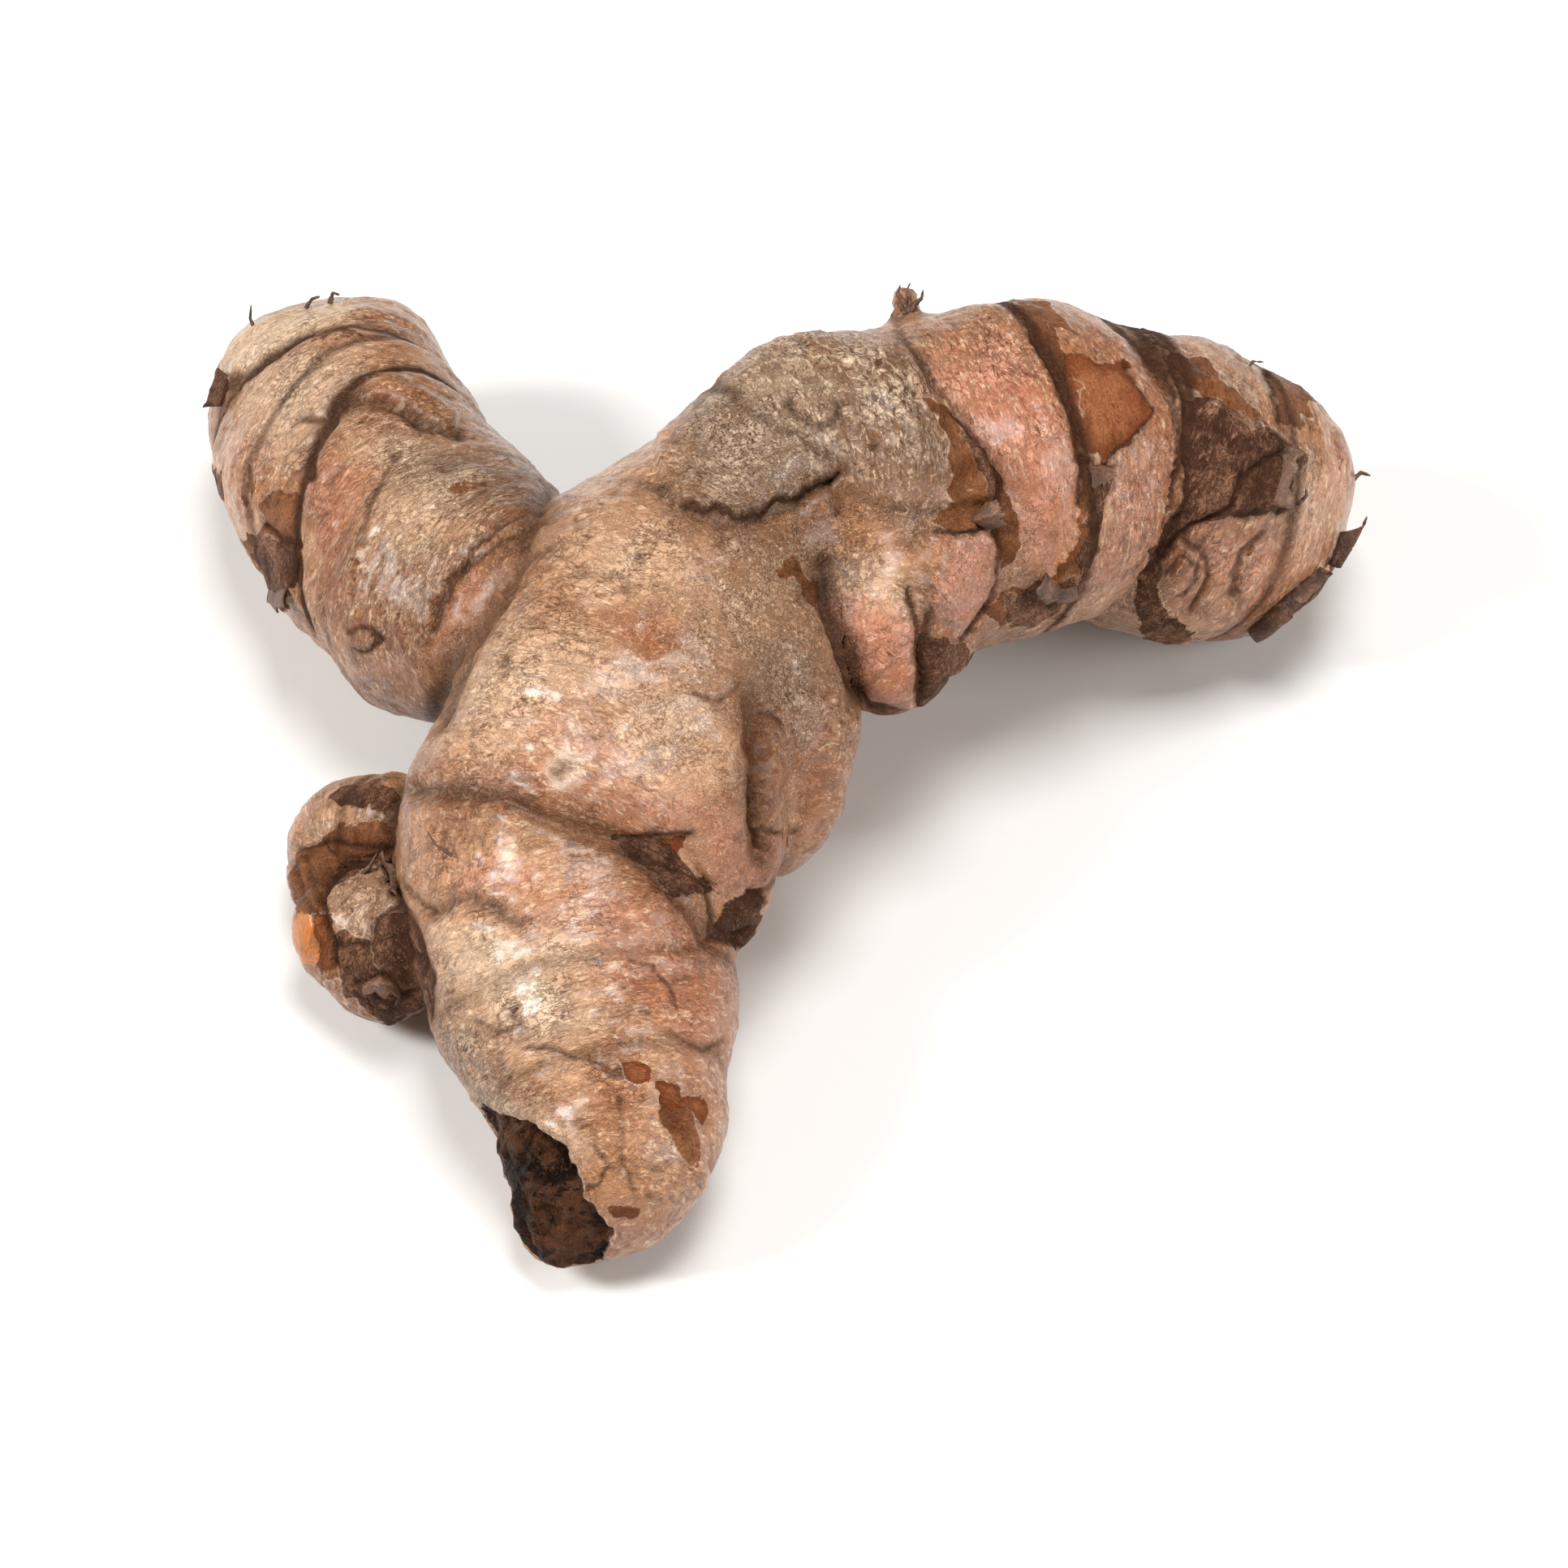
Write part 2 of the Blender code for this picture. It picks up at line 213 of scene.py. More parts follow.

# Each row of the blocks below starts with the amounts that its comment names, and goes on with its
# line or outline: across and up by turns, in tenths of a millimetre.

# Depth, half width and stain, which darkens the fold with dirt and painted shade.
CREASE_ROWS = (
    (0.8, 0.6, 0.55, -193, -78, -157, -83, -137, -83, -114, -94, -73, -106, -63, -109, -27, -142, -7, -170),
    (0.5, 0.5, 0.5, -180, -155, -167, -147, -157, -144, -147, -150, -124, -160),
    (0.5, 0.45, 0.5, -39, 112, -31, 99, -15, 91, 13, 86, 42, 96, 65, 114),
    (0.9, 0.8, 0.6, 20, -24, 22, -60, 24, -88, 26, -124),
    (0.5, 0.7, 0.6, -104, 108, -121, 73, -146, 31, -169, -9, -176, -34),
    (0.5, 0.6, 0.8, 64, 62, 67, 32, 76, 0, 82, -24),
    (0.4, 0.5, 0.8, 129, 30, 124, 6, 122, -24),
)

# Depth, half width and stain, which darkens the fold with dirt and painted shade.
FOLD_ROWS = (
    (0.2, 0.45, 0.4, -20, 177, 9, 159, 33, 144, 50, 136, 71, 118),
    (0.22, 0.3, 0.6, 40, 159, 45, 148, 58, 142, 70, 148, 71, 157),
    (0.4, 0.16, 1.0, -26, 98, -12, 92, -3, 93, 11, 88, 18, 91, 24, 91, 32, 98, 41, 99, 48, 101, 54, 107, 59,
     111, 66, 112, 71, 116),
    (0.3, 0.25, 0.9, 139, 152, 153, 136, 162, 123, 169, 107, 165, 96),
    (0.25, 0.2, 0.8, 130, 79, 156, 82, 165, 92, 169, 71, 167, 48, 156, 24, 148, 15),
    (0.3, 0.25, 0.9, 62, 48, 66, 18, 75, -2, 89, -23, 112, -31),
    (0.25, 0.2, 0.8, 112, 45, 121, 18, 123, 1, 120, -20),
    (0.15, 0.3, 0.4, 103, 218, 112, 198, 127, 177, 150, 148),
    (0.25, 0.3, 0.7, -305, 173, -298, 179, -279, 188, -261, 201, -253, 205),
    (0.35, 0.35, 0.7, -251, 115, -255, 130, -247, 138, -238, 149, -243, 153, -259, 152),
    (0.25, 0.35, 0.6, -243, 155, -226, 158, -204, 158, -182, 152, -159, 145),
    (0.35, 0.35, 0.7, -159, 63, -168, 49, -174, 35, -176, 22),
    (0.22, 0.25, 0.6, -107, 85, -132, 74, -148, 67, -159, 60),
    (0.18, 0.2, 0.6, -120, 90, -137, 80, -151, 74, -162, 55),
    (0.22, 0.25, 0.6, -106, 71, -125, 63, -134, 47, -140, 29),
    (0.15, 0.25, 0.45, -200, 130, -207, 119, -216, 97, -219, 74),
    (0.2, 0.25, 0.8, -282, 85, -270, 77, -261, 74),
    (0.15, 0.2, 0.7, -225, 22, -219, 24, -211, 22, -208, 15, -215, 9, -223, 12),
    (0.06, 0.16, 0.6, -55, -182, -41, -187, -32, -199, -28, -213),
    (0.12, 0.2, 0.5, -118, -237, -94, -241, -80, -245, -63, -253),
    (0.12, 0.22, 0.5, -150, -221, -135, -228, -121, -221),
    (0.15, 0.2, 0.5, -197, -133, -188, -145, -177, -158),
    (0.1, 0.14, 0.6, -77, -298, -70, -309, -74, -322, -82, -324),
    (0.08, 0.14, 0.4, -62, -268, -58, -292, -60, -309, -53, -324),
    (0.08, 0.18, 0.5, -30, -230, -15, -239, -2, -233),
    (0.2, 0.2, 0.7, -63, -109, -41, -106, -18, -105),
    (0.25, 0.25, 0.9, -12, -137, -3, -168, 12, -175, 25, -171),
    (0.45, 0.3, 1.0, -246, -143, -241, -134, -230, -124, -218, -122, -209, -116),
    (0.2, 0.22, 0.7, -262, -113, -250, -111, -236, -110, -216, -113, -206, -113),
    (0.12, 0.18, 0.5, -264, -124, -256, -138, -250, -152),
    (0.12, 0.18, 0.5, -257, -118, -250, -132, -246, -144),
    (0.25, 0.2, 0.9, -246, -140, -243, -156, -238, -168, -237, -184),
    (0.2, 0.2, 0.8, -216, -169, -210, -157, -200, -148, -204, -132),
    (0.2, 0.2, 0.8, -224, -197, -206, -191, -196, -202, -188, -200),
    (0.15, 0.2, 0.6, -236, -172, -216, -172, -196, -168, -186, -182),
    (0.4, 0.35, 0.9, -199, -84, -204, -104, -206, -120, -198, -148, -188, -168, -180, -192, -178, -216),
    (0.35, 0.25, 1.0, 21, -70, 23, -87, 26, -101, 30, -117),
    (0.1, 0.16, 0.6, 14, -44, 21, -32, 32, -31, 36, -40),
    (0.15, 0.16, 0.8, 29, -107, 38, -105, 47, -106),
    (0.1, 0.2, 0.5, -16, -20, -8, -24, 2, -25, 11, -14),
    (0.2, 0.2, 0.9, 16, -141, 26, -142, 27, -148),
    (0.2, 0.2, 0.9, 0, -165, 7, -167, 15, -163),
    (0.15, 0.2, 0.7, 189, 202, 202, 177, 212, 149, 218, 120, 216, 99),
    (0.15, 0.18, 0.8, 223, 119, 237, 120),
    (0.1, 0.16, 0.6, 245, 186, 252, 167, 263, 155, 255, 145, 242, 133, 232, 120),
    (0.25, 0.22, 0.8, 272, 187, 280, 161, 281, 128, 283, 108, 278, 92, 267, 72, 257, 58),
    (0.35, 0.2, 1.0, 267, 67, 280, 81, 295, 90, 308, 99, 313, 114, 319, 120, 330, 126, 342, 130),
    (0.2, 0.2, 0.8, 314, 93, 330, 95, 348, 95),
    (0.2, 0.28, 0.6, 330, 81, 319, 65, 311, 43),
    (0.16, 0.2, 0.7, 266, 58, 264, 70, 279, 77, 294, 70, 297, 52, 286, 36),
    (0.12, 0.16, 0.6, 270, 58, 278, 68, 289, 62, 288, 49, 278, 46),
    (0.12, 0.2, 0.6, 330, 184, 334, 161, 342, 145),
)

# Height.
SCALE_ROWS = (
    (0.45, -161, 158, -170, 160, -187, 168, -204, 175, -215, 177, -232, 172, -246, 165, -243, 153, -230, 157,
     -216, 161, -204, 160, -182, 153, -162, 147),
    (0.45, 259, 202, 280, 192, 317, 157, 355, 128, 346, 116, 345, 94, 308, 94, 274, 93, 277, 149),
    (0.3, 220, 182, 243, 184, 262, 152, 233, 124, 220, 125),
    (0.35, 222, 118, 236, 120, 225, 65, 200, 31, 193, 52, 215, 75),
    (-0.4, -57, -107, -20, -106, -16, -120, -6, -137, -27, -132),
    (0.5, -39, 112, -31, 99, -15, 91, 13, 86, 42, 96, 65, 114, 94, 96, 132, 94, 166, 102, 164, 118, 136, 156,
     116, 186, 40, 206, -40, 176),
    (0.4, 129, 81, 154, 86, 169, 76, 172, 61, 164, 41, 152, 26, 146, 16, 139, 31, 129, 41, 130, 61),
    (-0.4, -152, -272, -158, -299, -158, -332, -152, -364, -126, -392, -80, -392, -69, -370, -67, -353, -84,
     -328, -89, -312, -97, -299, -123, -282),
)

# Lift and curl. The first half of the line is the hinge and the second the free edge.
FLAP_ROWS = (
    (0.3, 0.5, 371, 62, 375, 72, 378, 82, 374, 63, 384, 76, 393, 92),
    (0.4, 0.3, 321, 21, 344, 42, 366, 60, 329, 15, 352, 34, 372, 57),
    (0.3, 0.3, -305, 179, -306, 170, -309, 160, -309, 184, -317, 172, -321, 158),
    (1.0, 0.3, 160, 98, 152, 87, 162, 82, 167, 100, 172, 95, 181, 89),
    (0.5, 0.4, 328, 143, 338, 133, 336, 120, 330, 99, 338, 141, 358, 129, 350, 117, 349, 95),
    (0.5, 0.3, 223, 121, 231, 122, 238, 121, 225, 108, 231, 105, 236, 110),
    (0.8, 0.3, -279, 49, -273, 47, -267, 49, -277, 34, -272, 31, -267, 33),
    (0.5, 0.3, -209, -121, -204, -128, -202, -140, -206, -114, -198, -128, -196, -144),
    (0.6, 0.3, -220, -197, -210, -191, -200, -198, -218, -204, -207, -206, -197, -204),
    (0.6, 0.3, 198, 58, 207, 52, 214, 52, 189, 43, 203, 32, 217, 40),
)

# Radius and lift.
STRAND_ROWS = (
    (0.16, 0.5, 386, 115, 390, 119, 395, 117),
    (0.13, 0.3, -288, 206, -291, 214, -290, 222),
    (0.16, 0.2, -257, 221, -253, 226, -248, 227),
    (0.16, 0.2, -242, 224, -240, 230, -236, 228),
    (0.2, 0.0, 112, 216, 110, 223, 106, 228, 108, 233),
    (0.2, 0.3, 113, 216, 114, 224, 112, 230, 114, 234),
    (0.18, 0.0, 114, 216, 117, 222, 121, 225, 122, 230),
    (0.16, 0.2, 112, 215, 108, 220, 105, 222),
    (0.2, 0.8, -221, -129, -216, -124, -211, -116),
    (0.16, 0.7, -207, -129, -200, -140, -199, -150, -190, -156, -178, -159),
    (0.15, 0.5, 352, 98, 357, 104, 356, 110),
    (0.12, 0.4, 321, 183, 324, 187, 330, 186),
    (0.14, 0.3, -202, -197, -198, -204, -200, -210),
    (0.12, 0.4, -166, -119, -176, -112, -180, -104),
)

# Strength and softness, in the ten blocks of tinted areas.
PINK_AREAS = (
    (0.9, 1.6, 129, 161, 134, 191, 159, 201, 184, 201, 199, 176, 214, 141, 218, 106, 210, 71, 197, 54, 181,
     68, 174, 86, 167, 114, 149, 141),
    (0.55, 1.6, 224, 216, 249, 206, 269, 176, 277, 136, 274, 96, 256, 66, 239, 51, 224, 41, 221, 54, 234, 86,
     241, 121, 262, 148, 248, 176, 234, 196, 204, 214),
    (0.6, 1.8, 296, 76, 334, 88, 352, 104, 361, 128, 379, 136, 386, 111, 379, 76, 354, 51, 324, 36, 296, 48),
    (0.45, 2.0, -131, -44, -96, -34, -66, -49, -61, -74, -86, -89, -121, -82, -136, -64),
    (0.55, 1.6, -86, -96, -61, -104, -41, -107, -20, -104, -1, -86, -16, -69, -56, -74),
    (0.7, 1.0, -21, -102, -1, -84, 19, -102, 32, -119, 29, -134, 14, -139, -1, -139, -11, -124),
    (0.6, 2.0, -81, -139, -46, -144, -21, -159, -11, -194, -4, -234, -21, -249, -36, -214, -51, -179, -71,
     -164),
    (0.4, 2.0, -166, 36, -151, 56, -131, 61, -136, 36, -156, 16),
    (0.6, 1.8, -162, -124, -118, -133, -82, -150, -59, -171, -47, -192, -71, -192, -103, -174, -130, -159,
     -156, -150),
    (0.95, 0.8, 130, 79, 156, 82, 164, 89, 168, 71, 167, 48, 156, 24, 148, 15, 139, 20, 130, 30, 134, 54),
    (0.9, 0.8, 62, 42, 71, 45, 103, 30, 118, 30, 123, 1, 120, -20, 112, -30, 89, -23, 75, -2, 66, 18),
    (0.9, 1.4, -36, -83, -12, -78, -7, -96, -23, -109, -36, -107),
    (0.5, 1.2, -14, -109, 12, -109, 18, -139, -3, -154, -12, -131),
    (0.8, 1.0, -159, -124, -130, -121, -109, -133, -138, -142, -162, -139),
    (0.6, 0.5, 45, 158, 58, 159, 59, 145, 46, 145),
    (0.6, 1.2, -254, 124, -220, 122, -222, 84, -240, 60, -254, 86),
)

WARM_AND_SHADE_AREAS = (
    (0.9, 1.0, -63, 31, -51, 41, -34, 36, -28, 21, -36, 1, -54, 4, -61, 16),
    (0.8, 0.8, -90, 34, -76, 46, -62, 39, -68, 25, -84, 22),
    (0.8, 1.0, -121, -54, -104, -46, -98, -59, -104, -79, -120, -79, -128, -66),
    (0.7, 1.2, 79, -2, 99, -14, 119, -9, 122, -26, 92, -27),
    (0.7, 1.2, -16, -214, -1, -209, 4, -249, -4, -289, -14, -274),
    (0.85, 0.7, -68, -192, -55, -183, -41, -187, -32, -198, -28, -212, -32, -218, -44, -212, -56, -203, -65,
     -199),
    (0.6, 2.4, -41, -142, -15, -162, 0, -198, 6, -239, 0, -280, -18, -309, -12, -262, -18, -215, -30, -186),
    (0.5, 0.8, -30, -230, -6, -230, 0, -242, -15, -245),
    (0.9, 1.0, 83, -20, 115, -30, 123, -20, 121, -32, 98, -38, 83, -29),
    (0.5, 1.0, 112, 107, 127, 107, 133, 89, 121, 54, 109, 60, 115, 83),
    (0.7, 1.0, 260, 72, 283, 78, 301, 64, 301, 40, 280, 28, 266, 43),
    (0.45, 1.4, 295, 192, 319, 190, 336, 172, 333, 146, 316, 167),
    (0.35, 2.0, 342, 143, 378, 143, 386, 99, 372, 70, 357, 81, 360, 120),
    (0.9, 0.8, -293, 152, -282, 153, -279, 141, -282, 122, -287, 97, -294, 94, -296, 119, -295, 138),
    (0.9, 1.4, -250, 108, -218, 110, -220, 80, -229, 47, -240, 30, -251, 47, -255, 80),
    (0.9, 0.7, 28, -65, 44, -63, 48, -70, 41, -87, 32, -106, 27, -100, 27, -78),
    (0.6, 1.2, -16, -20, 7, -15, 15, -26, -8, -36),
    (0.5, 1.8, 42, -65, 62, -61, 73, -83, 55, -109, 47, -104),
    (0.5, 1.5, -262, 85, -243, 85, -232, 41, -234, 10, -254, 24),
    (0.4, 1.6, 71, 112, 115, 107, 115, 60, 71, 60),
    (0.6, 1.6, 44, -39, 66, -44, 73, -70, 57, -96, 44, -87, 47, -61),
    (0.6, 1.6, -257, 119, -234, 124, -215, 110, -223, 69, -232, 41, -251, 41, -259, 80),
    (0.45, 1.2, -12, -113, 14, -113, 27, -135, 7, -152, -10, -139),
    (0.4, 2.0, -109, -92, -53, -92, -41, -112, -82, -115, -109, -106),
    (0.45, 0.9, -65, -262, -47, -265, -41, -280, -59, -286, -68, -277),
    (0.5, 0.8, -94, -171, -77, -174, -77, -192, -88, -189),
    (0.55, 1.0, -228, -140, -210, -138, -202, -148, -210, -156, -224, -156),
    (0.4, 1.8, 121, 218, 180, 218, 194, 177, 180, 118, 168, 139, 150, 177),
    # Painted shade: this broad soft patch and the five after it darken the trunk's right flank and places on
    # the left finger, the front limb and the trunk's left, where shade falls.
    (0.8, 2.5, 34, -44, 64, -34, 82, -64, 80, -104, 50, -118, 34, -94),
    (0.5, 1.4, -250, 96, -216, 96, -214, 60, -228, 31, -246, 46, -254, 74),
    (0.6, 2.0, -201, 46, -151, 50, -146, 16, -176, 1, -206, 10),
    (0.75, 1.6, -41, -149, -12, -154, 2, -184, -6, -224, -34, -214, -44, -180),
    (0.6, 2.5, -131, -19, -90, -24, -84, -54, -106, -80, -136, -70),
    (0.5, 2.0, -169, -60, -144, -30, -126, -50, -134, -84, -156, -94),
    (0.9, 1.6, -245, 113, -237, 122, -223, 125, -212, 119, -215, 110, -219, 97, -229, 85, -243, 91, -248,
     102),
    (1.0, 0.8, 14, -41, 21, -32, 31, -31, 36, -41, 34, -54, 28, -61, 21, -62, 16, -54),
    (0.95, 0.5, 29, -107, 47, -106, 47, -115, 41, -122, 31, -119),
    (0.6, 1.2, -268, -90, -254, -84, -246, -92, -252, -114, -258, -136, -270, -130),
)

GREY_AREAS = (
    (0.95, 1.2, -31, 116, -16, 166, 9, 183, 34, 198, 84, 202, 112, 198, 124, 176, 134, 151, 139, 126, 136, 96,
     124, 81, 104, 86, 84, 98, 65, 113, 49, 104, 34, 94, 14, 86, -11, 94, -36, 110),
    (0.7, 1.2, -182, -214, -166, -229, -146, -269, -128, -289, -120, -269, -138, -239, -158, -214),
    (0.5, 1.5, -6, 86, 44, 86, 74, 66, 64, 16, 34, -24, -6, 6, -16, 46),
    (0.5, 1.2, 139, 211, 169, 216, 184, 191, 164, 176, 139, 191),
    (0.8, 1.2, -174, -206, -156, -227, -143, -262, -135, -281, -147, -280, -162, -256, -172, -233),
    (0.5, 1.4, 154, 208, 183, 217, 198, 178, 172, 170, 154, 170),
    (0.8, 1.4, -215, 77, -182, 83, -148, 85, -170, 52, -176, 19, -204, 19, -218, 47),
    (0.5, 1.6, -204, 147, -159, 144, -115, 110, -132, 85, -170, 85, -201, 108),
    (0.75, 1.8, -3, 26, 55, 26, 77, -13, 79, -46, 60, -61, 38, -46, 16, -17),
    (0.4, 2.0, -26, 71, 18, 71, 62, 48, 62, 12, 33, -29, -26, -29),
    (0.35, 1.4, 103, 210, 139, 212, 162, 189, 150, 160, 121, 183),
)

PALE_AND_HIGHLIGHT_AREAS = (
    (0.7, 0.6, -105, -58, -94, -52, -85, -64, -90, -78, -104, -78),
    # Painted highlight: a broad soft pale patch on the trunk's left, where light falls.
    (0.5, 3.0, -166, -34, -136, 16, -86, 16, -66, -14, -106, -34, -146, -64),
    # Painted highlight on the front limb's upper left, where light falls.
    (0.5, 3.0, -156, -164, -126, -174, -96, -214, -106, -244, -136, -224, -161, -194),
    (0.4, 2.0, -206, 116, -176, 136, -146, 126, -166, 96, -196, 76, -214, 86),
    (0.35, 1.5, 19, 176, 44, 181, 74, 166, 64, 136, 34, 131, 19, 151),
    (0.4, 1.5, 299, 186, 324, 181, 334, 166, 324, 154, 309, 166),
    (0.55, 1.2, -153, -262, -109, -280, -80, -298, -88, -306, -118, -292, -150, -280),
    # Painted highlight: the strongest one, on the front limb's upper left.
    (0.8, 1.8, -168, -171, -138, -162, -109, -192, -82, -221, -109, -233, -141, -215, -162, -192),
    (0.35, 1.2, 65, 54, 80, 64, 103, 60, 112, 45, 115, 30, 92, 33, 71, 42),
    (0.9, 0.5, 280, 168, 292, 167, 295, 159, 286, 158),
    (0.85, 0.8, -309, 185, -298, 205, -270, 219, -234, 224, -223, 216, -229, 210, -257, 204, -279, 188, -298,
     179, -309, 176),
    (0.4, 0.8, -246, -144, -230, -130, -216, -130, -202, -140, -200, -148, -210, -156, -216, -168, -230, -162,
     -238, -155),
    (0.45, 0.8, -260, -98, -246, -91, -240, -94, -246, -108, -259, -110),
    (0.4, 1.6, 334, 136, 366, 120, 379, 86, 354, 74, 336, 96),
    # Painted highlights: this broad soft patch and the two after it light the trunk's upper and middle parts
    # and the front limb's upper left.
    (0.4, 2.5, -96, 96, -36, 90, -40, 40, -84, 44),
    (0.4, 2.5, -61, -19, -11, -24, -16, -70, -58, -68),
    (0.5, 1.6, -124, -170, -90, -160, -74, -184, -104, -206),
    (0.55, 1.6, -295, 180, -260, 192, -224, 184, -226, 158, -250, 136, -274, 124, -290, 142),
    (0.45, 1.4, -230, 140, -186, 144, -174, 124, -200, 114, -224, 122),
)

DIRT_AND_SHADE_AREAS = (
    (0.5, 1.2, 112, 166, 130, 166, 140, 136, 134, 106, 119, 116),
    (0.5, 1.5, -6, 84, 34, 90, 64, 100, 84, 91, 54, 76, 14, 71),
    (0.5, 1.5, -121, 104, -96, 94, -86, 81, -116, 61, -131, 76),
    (0.5, 1.0, -231, -74, -201, -69, -198, -102, -221, -102),
    (0.85, 1.2, 314, 136, 346, 128, 356, 124, 348, 101, 324, 96, 310, 108),
    (0.4, 1.5, -208, -9, -181, -4, -176, -34, -201, -32),
    (0.45, 1.2, -181, -184, -171, -194, -154, -249, -138, -284, -151, -279, -171, -239),
    (0.4, 1.2, 34, 61, 69, 61, 69, 31, 44, 36),
    (0.5, 1.0, -168, -221, -150, -227, -121, -221, -118, -227, -147, -234, -165, -230),
    (0.9, 0.7, 62, 112, 75, 107, 77, 95, 68, 92, 59, 101),
    (0.55, 1.6, -148, 124, -120, 119, -106, 102, -106, 80, -132, 85, -143, 102),
    (0.5, 1.0, -187, 47, -170, 47, -173, 13, -187, 19),
    (0.7, 0.9, 19, -70, 26, -74, 29, -113, 24, -104, 21, -87),
    (0.4, 2.0, 66, -17, 79, -24, 79, -65, 73, -91, 60, -96, 60, -61),
    (0.35, 1.2, 7, -96, 21, -113, 29, -139, 16, -135),
    # Painted shade: a broad soft darkening along the left finger's lower side, where shade falls.
    (0.35, 2.0, -262, 119, -243, 124, -215, 85, -209, 19, -243, 6, -262, 30, -270, 74),
    (0.35, 1.2, -264, -114, -236, -112, -240, -134, -246, -156, -260, -156),
    (0.45, 1.5, -236, -172, -188, -164, -180, -204, -204, -220, -232, -200),
    (0.3, 2.2, 64, -28, 81, -31, 81, -78, 68, -104, 51, -122, 47, -104),
    (0.5, 0.8, -177, -148, -150, -141, -135, -145, -147, -151, -174, -159),
    (0.4, 0.6, -246, -144, -236, -138, -230, -148, -238, -156),
    (0.5, 0.8, -262, -104, -256, -88, -242, -76, -220, -73, -204, -74, -202, -80, -220, -82, -238, -84, -246,
     -92, -252, -102),
)

BROWN_AREAS = (
    (1.0, 1.0, -38, -267, -30, -273, -18, -275, -14, -292, -18, -309, -27, -303, -32, -292, -36, -280),
    (1.0, 0.9, -72, -333, -59, -334, -47, -337, -50, -342, -65, -340),
    (1.0, 1.0, 124, 161, 139, 154, 150, 139, 161, 124, 167, 110, 164, 96, 150, 105, 139, 98, 137, 118, 136,
     136, 131, 148),
    (1.0, 0.8, 131, 90, 139, 98, 150, 104, 165, 97, 156, 82, 139, 80, 127, 86),
    (1.0, 0.9, 167, 98, 180, 89, 178, 60, 171, 58, 167, 80),
    (0.85, 1.0, 30, 57, 45, 71, 50, 57, 65, 51, 61, 30, 62, 12, 48, 45, 33, 51),
    (1.0, 0.9, 175, 220, 198, 218, 219, 202, 203, 205, 214, 181, 219, 158, 222, 128, 217, 120, 211, 149, 201,
     178, 188, 202),
    (1.0, 1.0, 223, 120, 236, 119, 233, 99, 228, 70, 216, 43, 207, 28, 172, 21, 154, 31, 172, 43, 192, 50,
     207, 64, 214, 81, 217, 102),
    (1.0, 1.0, 270, 187, 280, 194, 295, 190, 314, 165, 330, 143, 319, 145, 298, 156, 283, 168),
    (1.0, 0.9, 328, 186, 342, 178, 362, 161, 354, 155, 357, 145, 339, 152, 332, 168),
    (1.0, 0.9, 154, 133, 163, 122, 172, 105, 180, 90, 180, 58, 172, 58, 167, 87, 154, 81),
    (0.7, 0.9, 325, 81, 336, 72, 330, 64, 319, 55, 314, 46, 319, 67),
    (0.75, 1.4, -258, 205, -234, 210, -215, 197, -209, 188, -232, 194, -251, 195),
    (0.8, 1.0, -295, 124, -284, 124, -286, 102, -291, 92, -295, 105),
    (1.0, 1.0, -280, 105, -262, 108, -258, 97, -259, 74, -264, 47, -268, 31, -279, 31, -282, 47, -293, 63,
     -293, 77, -282, 85, -284, 97),
    (0.65, 1.0, -232, 69, -218, 69, -216, 47, -229, 47),
    (0.75, 1.2, -175, 110, -165, 116, -148, 115, -136, 108, -148, 102, -168, 102),
    (1.0, 1.0, -238, -104, -226, -100, -204, -98, -206, -113, -218, -120, -230, -120, -240, -132, -244, -152,
     -258, -156, -266, -138, -265, -114, -256, -111),
    (1.0, 0.9, -250, -156, -238, -156, -236, -172, -238, -192, -246, -196, -252, -188, -246, -172),
    (0.9, 0.9, -222, -198, -206, -191, -196, -202, -202, -217, -218, -208),
    (0.9, 0.9, -216, -172, -196, -168, -194, -182, -210, -188),
)

RUST_AREAS = (
    (1.0, 0.8, -63, -247, -44, -248, -43, -253, -47, -260, -59, -258),
    (1.0, 0.8, -43, -259, -27, -259, -22, -267, -12, -268, -10, -277, -13, -287, -18, -277, -30, -274, -37,
     -268),
    (0.9, 0.9, -41, -106, -19, -106, -18, -112, -22, -118, -16, -127, -24, -123, -31, -114),
    (1.0, 1.5, 209, 189, 245, 186, 251, 167, 263, 155, 255, 145, 242, 133, 232, 121, 219, 134, 210, 158),
    (0.9, 0.8, -252, -153, -244, -154, -241, -166, -244, -178, -240, -190, -248, -193, -251, -182, -252,
     -166),
)

